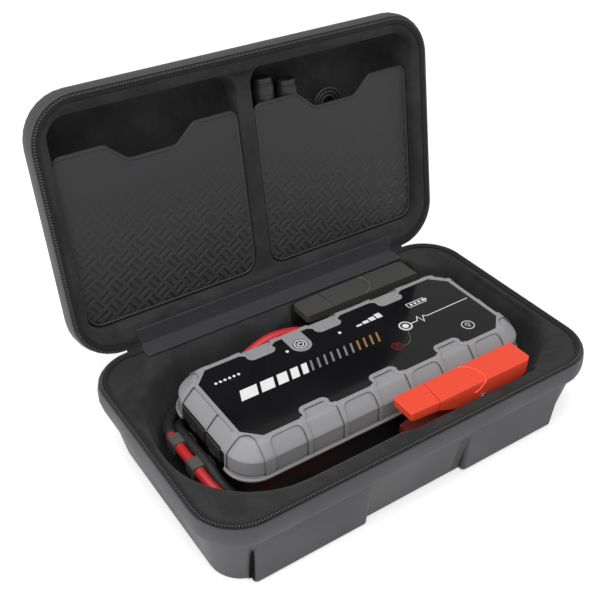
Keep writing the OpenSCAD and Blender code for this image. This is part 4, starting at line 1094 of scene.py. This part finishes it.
class SewZip(bpy.types.Operator):
    """Zip tapes, teeth and stitches on both halves"""

    bl_idname = "jumpstarter.zip"
    bl_label = "Zip"

    def execute(self, context):
        case, finish = context.scene.case_settings, finishes()
        clear = case.hinge_length / 2 + 0.014
        under, plane, w = case.rim_height, case.zip_height, case.tape_width / 2
        face = under + 0.0008
        profile = [
            (-w, under + 0.0001), (w, under + 0.0001), (w, under + 0.0006), (w - 0.0006, face),
            (0.0008, face), (0.0002, under + 0.0011), (-0.0006, face), (-w + 0.0003, face),
            (-w, under + 0.0005),
        ]
        # Light bars at every tooth: the sewing thread, and painted highlights on the coil's turns
        thread = self.stitched(0.0021, clear, plane - 0.00045, case.tooth_pitch, 0.2, 0.0009)
        seam = self.stitched(case.tape_width - 0.0014, clear, face, 0.003, 0.3, 0.0003)
        shapes = (
            ("tape", "tape", sweep(rim_path(w, 0.004, clear), profile), "zip_tape"),
            ("teeth", "teeth", self.teeth(case, clear, face, plane - 0.0005), "zip_coil"),
            ("zip_thread_and_coil_glint", "thread", thread, None),
            ("zip_seam", "seam", seam, None),
        )
        for half, body in (("base", "case_base"), ("lid", "lid")):
            for label, look, (points, faces), node in shapes:
                if half == "lid":
                    points = on_lid([(x, y, plane - z) for x, y, z in points])
                    faces = [f[::-1] for f in faces]
                made = piece(f"{half}_{label}", points, faces, body, finish[look], label != "teeth")
                if node:
                    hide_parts(f"{half}_{node}")
        return {"FINISHED"}

    def teeth(self, case, clear, low, high):
        """One rounded bar for each turn of the coil."""
        path = rim_path(0.0019, case.tooth_pitch, clear)
        rings = [(0.55, 1.0, low), (0.62, 1.0, low + 0.55 * (high - low)), (0.34, 0.86, high)]
        half_long, half_wide = case.tooth_pitch * 0.62, 0.0013
        points, faces = [], []
        for p, way in zip(path, headings(path)):
            out = np.array([-way[1], way[0]])
            faces += quads(3, 4, closed=True, base=len(points)) + ends(3, 4, len(points))
            for a, b, z in rings:
                for u, v in ((-1, -1), (1, -1), (1, 1), (-1, 1)):
                    points.append((*(p + way * u * a * half_long + out * v * b * half_wide), z))
        return points, faces

    def stitched(self, inset, clear, low, pitch, share, reach):
        """A row of small thread bars, one every pitch, reaching to both sides of that inset."""
        path = rim_path(inset, pitch, clear)
        spots = [
            ((*p, low), (*(way * pitch * share), 0), (-way[1] * reach, way[0] * reach, 0), (0, 0, 1))
            for p, way in zip(path, headings(path))
        ]
        return stitches(spots, -0.00005, 0.0003)


def backs(line):
    """Which way is behind a line of (y, z), at each of its points."""
    ways = headings(line)
    return np.stack([ways[:, 1], -ways[:, 0]], axis=1)


def band(front, behind, xs):
    """A strip from x to x, whose section runs along its front and returns along its back."""
    ring = [*front, *behind[::-1]]
    points = [(x, *p) for x in xs for p in ring]
    return points, quads(len(xs), len(ring), closed=True, flip=True)


class SewHinge(bpy.types.Operator):
    """Woven strip over the hinge, sewn to both rims"""

    bl_idname = "jumpstarter.hinge"
    bl_label = "Hinge strip"

    def execute(self, context):
        case, finish = context.scene.case_settings, finishes()
        hinge, top, half = case.zip_depth / 2, case.zip_height, case.hinge_length / 2
        base_z, edge = case.rim_height + 0.00105, 0.0008 + case.hinge_width
        lid_d = top - base_z
        line = [(hinge - edge, base_z), (hinge - 0.006, base_z), (hinge - 0.0022, base_z + 0.0001)]
        line += [(hinge - 0.0002, base_z + 0.0003), (hinge + 0.0011, base_z + 0.0012)]
        line += [p[1:] for p in on_lid([(0, hinge - s, lid_d) for s in (0.0026, 0.007, edge)])]
        line = even(line, 0.0012)
        back, m, columns = backs(line), len(line), 61
        hem = np.array([[0.00025 if min(j, m - 1 - j) in (1, 2) else 0] for j in range(m)])
        xs = np.linspace(-half, half, columns)
        points, faces = band(line - back * hem, line + back * 0.00085, xs)
        last = (columns - 1) * 2 * m
        for j in range(m - 1):
            cap = (j, j + 1, 2 * m - 2 - j, 2 * m - 1 - j)
            faces += [cap, tuple(last + i for i in cap)[::-1]]
        strip = piece("hinge_strip", points, faces, None, finish["strip"])
        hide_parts("hinge_leaf_base", "hinge_leaf_lid")
        reach = {"start": (0, hinge - 0.003, base_z), "end": (0, hinge + 0.0005, top + 0.003)}
        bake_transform(strip)
        self.rows(case, finish, line, back)
        self.webs(case, finish, base_z, lid_d, reach)
        return {"FINISHED"}

    def webs(self, case, finish, base_z, lid_d, reach, wide=0.0138, lap=0.001):
        """Dark web that closes the gap between the rims, from the strip's ends to the zip."""
        hinge, half = case.zip_depth / 2, case.hinge_length / 2
        low = [(hinge - 0.0074, base_z - 0.0002), (hinge - 0.0036, base_z - 0.0002)]
        low.append((hinge - 0.0006, base_z + 0.0006))
        high = [p[1:] for p in on_lid([(0, hinge - 0.0034, lid_d), (0, hinge - 0.0072, lid_d)])]
        line = even(low + high, 0.0009)
        behind = line + backs(line) * 0.0006
        for name, x0, x1 in (("left", -half - wide, lap - half), ("right", half - lap, half + wide)):
            points, faces = band(line, behind, np.linspace(x0, x1, 9))
            faces += ends(9, 2 * len(line))
            web = piece(f"hinge_web_{name}", points, faces, None, finish["tape"])
            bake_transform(web)

    def rows(self, case, finish, line, back, pitch=0.0036):
        """Two rows of stitches on each leaf."""
        m, ways, half = len(line), headings(line), case.hinge_length / 2
        xs = [pitch * (i + 1) - half for i in range(int(case.hinge_length / pitch) - 1)]
        for name, body, places in (("base", "case_base", (2, 4)), ("lid", "lid", (m - 5, m - 3))):
            spots = [
                (
                    (x, *(line[j] - back[j] * 0.00015)), (0.0012, 0, 0),
                    (0, *(ways[j] * 0.0003)), (0, *-back[j]),
                )
                for j in places
                for x in xs
            ]
            points, faces = stitches(spots, -0.0001, 0.00035)
            piece(f"hinge_stitches_{name}", points, faces, body, finish["strip thread"])


# The pocket panels on the closed lid, in millimetres: x of their sides, y of their hinge edge
PANEL_INNER, PANEL_OUTER = 8.25, 190 - 0.25
PANEL_BACK, PANEL_HIGH = 96.5, 165


class MakePockets(bpy.types.Operator):
    """The two pressed pocket panels in the lid, with a raised border"""

    bl_idname = "jumpstarter.pockets"
    bl_label = "Pocket panels"

    def execute(self, context):
        case, finish = context.scene.case_settings, finishes()
        for side, x0, x1 in (("left", -PANEL_OUTER, -PANEL_INNER), ("right", PANEL_INNER, PANEL_OUTER)):
            outline = self.outline(x0, x1)
            panel = self.panel(f"{side}_panel", outline, case, finish["panel"])
            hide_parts(f"{side}_pocket_panel")
            self.border(f"{side}_panel_border", outline, case, finish["border"])
        return {"FINISHED"}

    def outline(self, x0, x1, run=19, scoop=17):
        """Outline of a panel on the closed lid, in millimetres, with the scoop in its free edge."""
        top = PANEL_BACK - PANEL_HIGH
        left, right = x0 + (x1 - x0) * 0.29, x1 - (x1 - x0) * 0.27
        return [
            *arc_mm(x0 + 9, top + 9, 9, 180, 270),
            *arc_mm(left - 6, top + 8, 8, 270, 315, 5),
            *arc_mm(left + run + 1, top + scoop - 9, 9, 130, 90, 5),
            *arc_mm(right - run - 1, top + scoop - 9, 9, 90, 50, 5),
            *arc_mm(right + 6, top + 8, 8, 225, 270, 5),
            *arc_mm(x1 - 9, top + 9, 9, 270, 360),
            *arc_mm(x1 - 16, PANEL_BACK - 16, 16, 0, 90),
            *arc_mm(x0 + 16, PANEL_BACK - 16, 16, 90, 180),
        ]

    def area(self, outline):
        p = np.array(outline)
        q = np.roll(p, -1, axis=0)
        return float((p[:, 0] * q[:, 1] - q[:, 0] * p[:, 1]).sum() / 2)

    def panel(self, name, outline, case, finish):
        """The panel, crowned towards its middle, with a flat back."""
        rim, plane, crown = np.array(outline), case.panel_depth / MM, case.panel_crown / MM
        xs, ys = (np.arange(low + 4, high - 2, 5) for low, high in zip(rim.min(0), rim.max(0)))
        inside = [(x, y) for x in xs for y in ys if self.depth((x, y), rim) > 2.2]
        edges = [(i, (i + 1) % len(rim)) for i in range(len(rim))]
        flat, _, tris, *_ = delaunay_2d_cdt([Vector(p) for p in outline + inside], edges, [], 1, 1e-5)
        front, back, n = [], [], len(flat)
        for p in flat:
            d = max(0.0, self.depth(tuple(p), rim))
            bulge = crown * (1 - math.exp(-d / 14))
            front.append((p.x, p.y, plane - bulge + 0.45 * max(0, 1 - d / 1.2)))
            back.append((p.x, p.y, plane + 1.9))
        faces = [tuple(f)[::-1] for f in tris] + [tuple(n + i for i in f) for f in tris]
        sides = dict.fromkeys((a, b) for f in tris for a, b in zip(f, f[1:] + f[:1]))
        faces += [(a, b, n + b, n + a) for a, b in sides if (b, a) not in sides]
        panel = piece(name, on_lid(np.array(front + back) * MM), faces, "lid", finish)
        bevel = panel.modifiers.new("Soft rim", "BEVEL")
        bevel.width, bevel.segments = 0.0004, 2
        bevel.limit_method, bevel.angle_limit = "ANGLE", math.radians(50)
        return panel

    def depth(self, p, rim):
        """Distance inside the outline, negative outside."""
        p = np.array(p)
        a, b = rim, np.roll(rim, -1, axis=0)
        ab, ap = b - a, p - a
        t = np.clip((ab * ap).sum(1) / np.maximum((ab * ab).sum(1), 1e-12), 0, 1)
        near = float(np.linalg.norm(ap - ab * t[:, None], axis=1).min())
        up = (a[:, 1] > p[1]) != (b[:, 1] > p[1])
        with np.errstate(divide="ignore", invalid="ignore"):
            cross = a[:, 0] + (p[1] - a[:, 1]) * ab[:, 0] / ab[:, 1]
        odd = int((up & (p[0] < cross)).sum()) % 2
        return near if odd else -near

    def border(self, name, outline, case, finish):
        """A raised welt just inside the panel's edge."""
        line = even([*outline, outline[0]], 2.5)[:-1]
        ways = np.roll(line, -1, axis=0) - np.roll(line, 1, axis=0)
        ways /= np.linalg.norm(ways, axis=1)[:, None]
        inward = np.stack([-ways[:, 1], ways[:, 0]], axis=1)
        plane = case.panel_depth / MM
        profile = [(0.9, 0.2), (1.1, -0.42), (1.7, -0.62), (2.3, -0.6), (2.9, -0.1), (2.9, 0.3)]
        points = [(*(p + o * a), plane + d) for p, o in zip(line, inward) for a, d in profile]
        faces = [f[::-1] for f in quads(len(line), len(profile), closed=True, looped=True)]
        piece(name, on_lid(np.array(points) * MM), faces, "lid", finish)


class FinishSliders(bpy.types.Operator):
    """Zip sliders and their pull tabs"""

    bl_idname = "jumpstarter.sliders"
    bl_label = "Zip sliders"

    def execute(self, context):
        enamel = finishes()["enamel"]
        for node in ("left_slider", "right_slider", "left_pull", "right_pull"):
            dress(node, enamel)
        return {"FINISHED"}


# ---------- the jump starter ----------


# Middle of the face and distance between its tabs, in millimetres
FACE_CENTRE = (6.5, -3)
TAB_PITCH = 74
# One side of a tab, from the middle of the face, and the section of its rim
TAB_SIDE = [
    (20.6, 52.8), (17, 50.2), (14.1, 48), (12.8, 45.5), (13.2, 43), (12.4, 40.7), (10.4, 39.2), (8, 38.9),
]
TAB_RIM = [(-2.5, 90.9), (1.5, 90.9), (1.5, 91.85), (1.1, 92.27), (-2, 92.27), (-2.5, 91.7)]
# Section of a lead clip, x and height in millimetres: its outside, its inside and the point it shrinks to
CLIP_OVER = [
    (-175.1, 46.2), (-175.1, 55.2), (-174.4, 57.2), (-172.8, 58.5), (-164.2, 58.5), (-162.6, 57.4),
    (-161.9, 55.6), (-161.2, 53.2), (-152.4, 52.6), (-151.9, 51.8), (-151.9, 46.4),
]
CLIP_UNDER = [
    (-173.4, 46.2), (-173.4, 52.6), *arc_mm(-168.5, 52, 4.95, 172, 28, 12), (-163.2, 50.8), (-163.0, 49.4),
    (-153.6, 49.4), (-153.6, 46.4),
]
CLIP_MIDDLE = (-165, 54)
# Nodes, their finish and the width of their edges, then the angle and steps where they aren't the usual
HOUSING_NODES = (
    ("upper_housing", "bumper", 0.0005, 24, 3),
    ("face_plate", "face", 0.0002),
    ("lower_housing end_cap torch_cap", "plastic", 0.0005),
    ("out_port_cover in_port_cover red_gland black_gland", "rubber", 0.0003),
    ("torch_lens", "window", 0.0003),
    ("power_button light_button", "plastic", 0.00015),
    ("boost_button charge_lights status_lights", "white", 0.00015),
    ("override_button", "face", 0.00015),
    ("circuit_board", "board", 0.00015),
    ("battery_cells", "cell", 0.00015),
    ("terminal_bars", "copper", 0.00015),
    ("housing_screws torch_reflector", "steel", 0.00015),
)


class FinishHousing(bpy.types.Operator):
    """Bumper, lower housing, caps, covers and what is inside"""

    bl_idname = "jumpstarter.housing"
    bl_label = "Housing"

    def execute(self, context):
        finish = finishes()
        for nodes, look, *edges in HOUSING_NODES:
            for node in nodes.split():
                dress(node, finish[look], *edges)
        self.tab_rims(finish["bumper"])
        clips = [self.clip(f"lead_clip_{i}", y, finish["clip"]) for i, y in enumerate((17, -17))]
        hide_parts("lead_clips")
        return {"FINISHED"}

    def tab_rims(self, finish):
        """Rounded rims down both sides of the tabs that reach into the face."""
        side, profile = curved(np.array(TAB_SIDE), 0.8), np.array(TAB_RIM) * MM
        points, faces = [], []
        for x in (-TAB_PITCH, 0, TAB_PITCH):
            for u, v in ((-1, -1), (-1, 1), (1, -1), (1, 1)):
                line = side * (u, v) + (x + FACE_CENTRE[0], FACE_CENTRE[1])
                rim, around = sweep((line if u * v > 0 else line[::-1]) * MM, profile)
                faces += [tuple(len(points) + i for i in f) for f in around]
                points += rim
        piece("tab_rims", points, faces, "case_base", finish)

    def clip(self, name, y, finish, half=6.5, soft=0.9, inset=0.35):
        """A moulded saddle that arches over the outer lead and steps down over the inner one."""
        outline = np.array(CLIP_OVER + CLIP_UNDER[::-1])
        inward = np.array(CLIP_MIDDLE) - outline
        inward /= np.linalg.norm(inward, axis=1)[:, None]
        levels = [(-half, inset), (soft - half, 0), (half - soft, 0), (half, inset)]
        points = [
            (x * MM, (y + along) * MM, z * MM) for along, trim in levels for x, z in outline + inward * trim
        ]
        net = len(levels), len(outline)
        faces = quads(*net, closed=True, flip=True) + [f[::-1] for f in ends(*net)]
        return tidy_edges(piece(name, points, faces, "case_base", finish, False))


class Ink:
    """Thin printed marks on the face, drawn in millimetres from the middle of the face."""

    def __init__(self, thick):
        self.points, self.faces, self.thick = [], [], thick / MM

    def shape(self, outline, hole=None):
        """A filled outline, or the band between an outline and a hole of as many points."""
        n, base = len(outline), len(self.points)
        for loop in (outline, hole) if hole else (outline,):
            self.points += [(x, y, z) for z in (self.thick, 0) for x, y in loop]
        for j in range(n):
            k = (j + 1) % n
            self.faces.append((base + n + j, base + n + k, base + k, base + j))
            if hole:
                a, b = base + 2 * n, base + 3 * n
                self.faces += [(base + j, base + k, a + k, a + j), (a + j, a + k, b + k, b + j)]
        if not hole:
            self.faces.append(tuple(range(base, base + n)))

    def disc(self, x, y, r, n, hole=None):
        """A round mark of n sides; a hole is its radius."""
        loops = [arc_mm(x, y, radius, 0, 360 - 360 / n, n - 1) for radius in (r, hole) if radius]
        self.shape(*loops)

    def ring(self, x, y, r, width):
        self.disc(x, y, r + width / 2, 48, r - width / 2)

    def line(self, points, width):
        """A drawn line with mitred corners."""
        p = np.array(points, float)
        ways = np.diff(p, axis=0)
        ways /= np.linalg.norm(ways, axis=1)[:, None]
        sides = np.stack([-ways[:, 1], ways[:, 0]], axis=1)
        left, right = [], []
        for i, q in enumerate(p):
            a, b = sides[max(i - 1, 0)], sides[min(i, len(sides) - 1)]
            m = (a + b) / np.linalg.norm(a + b)
            m = m * width / 2 / max(0.45, float(m @ b))
            left.append(tuple(q + m))
            right.append(tuple(q - m))
        for i in range(len(p) - 1):
            self.shape([right[i], right[i + 1], left[i + 1], left[i]])

    def make(self, name, body, slot, finish, z):
        """The marks as one piece, with their undersides at height z."""
        cx, cy = FACE_CENTRE
        points = [((x + cx) * MM, (y + cy) * MM, (z + h) * MM) for x, y, h in self.points]
        return piece(name, points, self.faces, body, finish, False)


# Heights of the face and its keys, and the keys' middles from the middle of the face, in millimetres
FACE_TOP, KEY_TOP = 92.06, 92.21
POWER, BOOST, OVERRIDE, LIGHT = (-37, 33), (60.6, 0.8), (35, -19), (110.7, -30.5)
PULSE = [(67.4, 1), (75, 1), (78.7, 6.7), (80.5, -3.1), (84.5, 4.7), (88.1, 2.3), (139.5, 2.8)]
DOTTED_LINK = [(57.3, -7.2), (54.1, -13.3), (51.1, -18.5), (45.2, -21.7), (41.6, -21)]


class PrintFace(bpy.types.Operator):
    """Printed marks on the face and its keys: plain symbols and slanted bars"""

    bl_idname = "jumpstarter.print"
    bl_label = "Face print"

    def execute(self, context):
        pack, finish = context.scene.pack_settings, finishes()
        thick = pack.print_thickness
        white, faint, ruby, amber = (Ink(thick) for _ in range(4))
        white.line(PULSE, pack.stroke / MM * 0.8)
        white.ring(*BOOST, 6.1, 1.2)
        white.ring(*LIGHT, 6, 0.8)
        ruby.ring(*OVERRIDE, 5.2, 0.7)
        for x, y in even(DOTTED_LINK, 1.7):
            faint.disc(x, y, 0.42, 10)
        self.gauge(white, faint, amber)
        self.ratings(white)
        for name, ink, look in (
            ("face_print_amber", amber, "amber"),
            ("face_print", white, "white"),
            ("face_print_fine", faint, "faint"),
            ("face_print_red", ruby, "ruby"),
        ):
            ink.make(name, "case_base", "face", finish[look], FACE_TOP)
        self.keys(thick, finish)
        return {"FINISHED"}

    def gauge(self, white, faint, amber, x=-122.0, lean=5.2, low=-4.2, high=8.6):
        """Slanted bars of a charge gauge, from broad to thin."""
        broad = [(white, wide, 3.6) for wide in (17, 13.5, 10.5, 8, 6)]
        for ink, wide, gap in broad + [(faint, 2.2, 5.2)] * 7 + [(amber, 2.2, 5.2)] * 4:
            ink.shape([(x, low), (x + wide, low), (x + wide + lean, high), (x + lean, high)])
            x += wide + gap

    def ratings(self, white):
        """A row of diamonds and a small accumulator sign."""
        for i in range(6):
            x, y = -129.0 + 4.6 * i, 28.2
            white.shape([(x - 1.7, y), (x, y - 1.9), (x + 1.7, y), (x, y + 1.9)])
        white.line([(82, 21.3), (103, 21.3), (103, 27.3), (82, 27.3), (82, 21.3)], 0.8)
        white.line([(104.6, 22.8), (104.6, 25.8)], 1.4)
        for i in range(4):
            white.line([(85.2 + 4.8 * i, 24.3), (88 + 4.8 * i, 24.3)], 2.6)

    def keys(self, thick, finish):
        """Symbols on the keys, which move with them."""
        power, boost, override, bulb = (Ink(thick) for _ in range(4))
        x, y = POWER
        power.ring(x, y, 5.7, 1.1)
        power.line(arc_mm(x, y, 2.9, 125, 415, 20), 1.15)
        power.line([(x, y + 0.6), (x, y + 3.9)], 1.15)
        power.make("power_mark", "power_button", "black_plastic", finish["white"], KEY_TOP)
        boost.ring(*BOOST, 3.85, 1.4)
        boost.make("boost_mark", "boost_button", "white", finish["face"], KEY_TOP)
        override.line([(33.6, -20.6), (35.9, -19.4), (34.2, -18.4), (36.6, -17.2)], 0.7)
        override.ring(*OVERRIDE, 3.1, 0.5)
        override.make("override_mark", "override_button", "override", finish["ruby"], KEY_TOP)
        x, y = LIGHT
        bulb.line(arc_mm(x, y + 1, 1.9, -50, 230, 16), 0.6)
        bulb.line([(x - 1.2, y - 1.4), (x + 1.2, y - 1.4)], 0.6)
        bulb.line([(x - 0.8, y - 2.4), (x + 0.8, y - 2.4)], 0.6)
        bulb.make("light_mark", "light_button", "black_plastic", finish["white"], KEY_TOP)


# ---------- the clamps ----------


# Seams of an upper arm in its clamp's own frame, in millimetres: along, across from the middle, and down
# from the top. An arm is as wide as twice ARM_HALF.
ARM_TOP, ARM_HALF = 48.0, 14.0
SEAMS = {
    "bend": [
        (33.5, ARM_HALF - 0.6, 0.05), (31.6, 0, -0.02), (29.8, 0.9 - ARM_HALF, 0.05),
        (29.2, 0.45 - ARM_HALF, 1), (28, 0.3 - ARM_HALF, 9.2),
    ],
    "collar": [
        (72, ARM_HALF - 0.6, 0.05), (77, ARM_HALF - 3, -0.02), (82, 6, -0.02), (85, -1, -0.02),
        (84.5, -8, -0.02), (82, 0.8 - ARM_HALF, 0.05), (80.5, -ARM_HALF, 1.2),
        (75, -ARM_HALF - 0.05, 7), (69, -ARM_HALF - 0.02, 8.6),
    ],
    "fold": [
        (8, 0.6 - ARM_HALF, 7), (20, 0.6 - ARM_HALF, 5.4), (31, 0.3 - ARM_HALF, 2.6),
        (44, 0.1 - ARM_HALF, 5.2), (58, -ARM_HALF, 6.6),
    ],
}


class FinishClamps(bpy.types.Operator):
    """Both clamps: grips with their moulded seams in painted highlight and painted shade, jaws, pin and
    spring
    """

    bl_idname = "jumpstarter.clamps"
    bl_label = "Clamps"

    def execute(self, context):
        finish = finishes()
        for colour, place, mirror in (("red", (-5.5, -88.6, 44), 1), ("black", (8, 88.5, 32), -1)):
            dress(f"{colour}_upper_arm", finish[f"{colour} grip"], 0.0025, 24, 4)
            dress(f"{colour}_lower_arm", finish[f"{colour} handle"], 0.0012, 24, 3)
            for part, look in (
                ("upper_jaw", "copper"), ("lower_jaw", "copper"), ("pivot", "steel"), ("spring", "steel"),
            ):
                dress(f"{colour}_{part}", finish[look], 0.0002)
            self.seams(colour, place, mirror, finish)
        return {"FINISHED"}

    def seams(self, colour, place, mirror, finish):
        """Raised moulding lines on the upper arm: the curved ridge painted lighter as a highlight, the bend
        and fold lines darker as painted shade in their creases.
        """
        cx, cy, cz = place
        for name, points in SEAMS.items():
            spots = [
                ((cx + x) * MM, (cy + mirror * y) * MM, (cz + ARM_TOP - down) * MM) for x, y, down in points
            ]
            width, look = (0.0014, "collar") if name == "collar" else (0.0006, "crease")
            tube(
                f"{colour}_{name}_seam", curved(spots, 0.0015), width, 8, f"{colour}_jaw",
                finish[f"{colour} {look}"],
            )


CLASSES = (
    CaseSettings, PackSettings, LeadSettings, StageSettings, SetStage, LayLeads, LayCable, FinishShells,
    MakeLinings, SewZip, SewHinge, MakePockets, FinishSliders, FinishHousing, PrintFace, FinishClamps,
)
STEPS = tuple(c for c in CLASSES if issubclass(c, bpy.types.Operator))


class JumpStarterPanel(bpy.types.Panel):
    """Lists the pieces in the order they are made"""

    bl_idname = "VIEW3D_PT_jumpstarter"
    bl_label = "Jump starter"
    bl_space_type = "VIEW_3D"
    bl_region_type = "UI"
    bl_category = "Jump starter"

    def draw(self, context):
        for step in STEPS:
            self.layout.operator(step.bl_idname)


SETTINGS = {
    "case_settings": CaseSettings,
    "pack_settings": PackSettings,
    "lead_settings": LeadSettings,
    "stage_settings": StageSettings,
}


def register():
    for c in (*CLASSES, JumpStarterPanel):
        bpy.utils.register_class(c)
    for name, group in SETTINGS.items():
        setattr(bpy.types.Scene, name, PointerProperty(type=group))


def unregister():
    for name in SETTINGS:
        delattr(bpy.types.Scene, name)
    for c in (JumpStarterPanel, *CLASSES[::-1]):
        bpy.utils.unregister_class(c)


def main():
    register()
    for step in STEPS:
        family, name = step.bl_idname.split(".")
        getattr(getattr(bpy.ops, family), name)()
    bpy.context.view_layer.update()


if __name__ == "__main__":
    main()
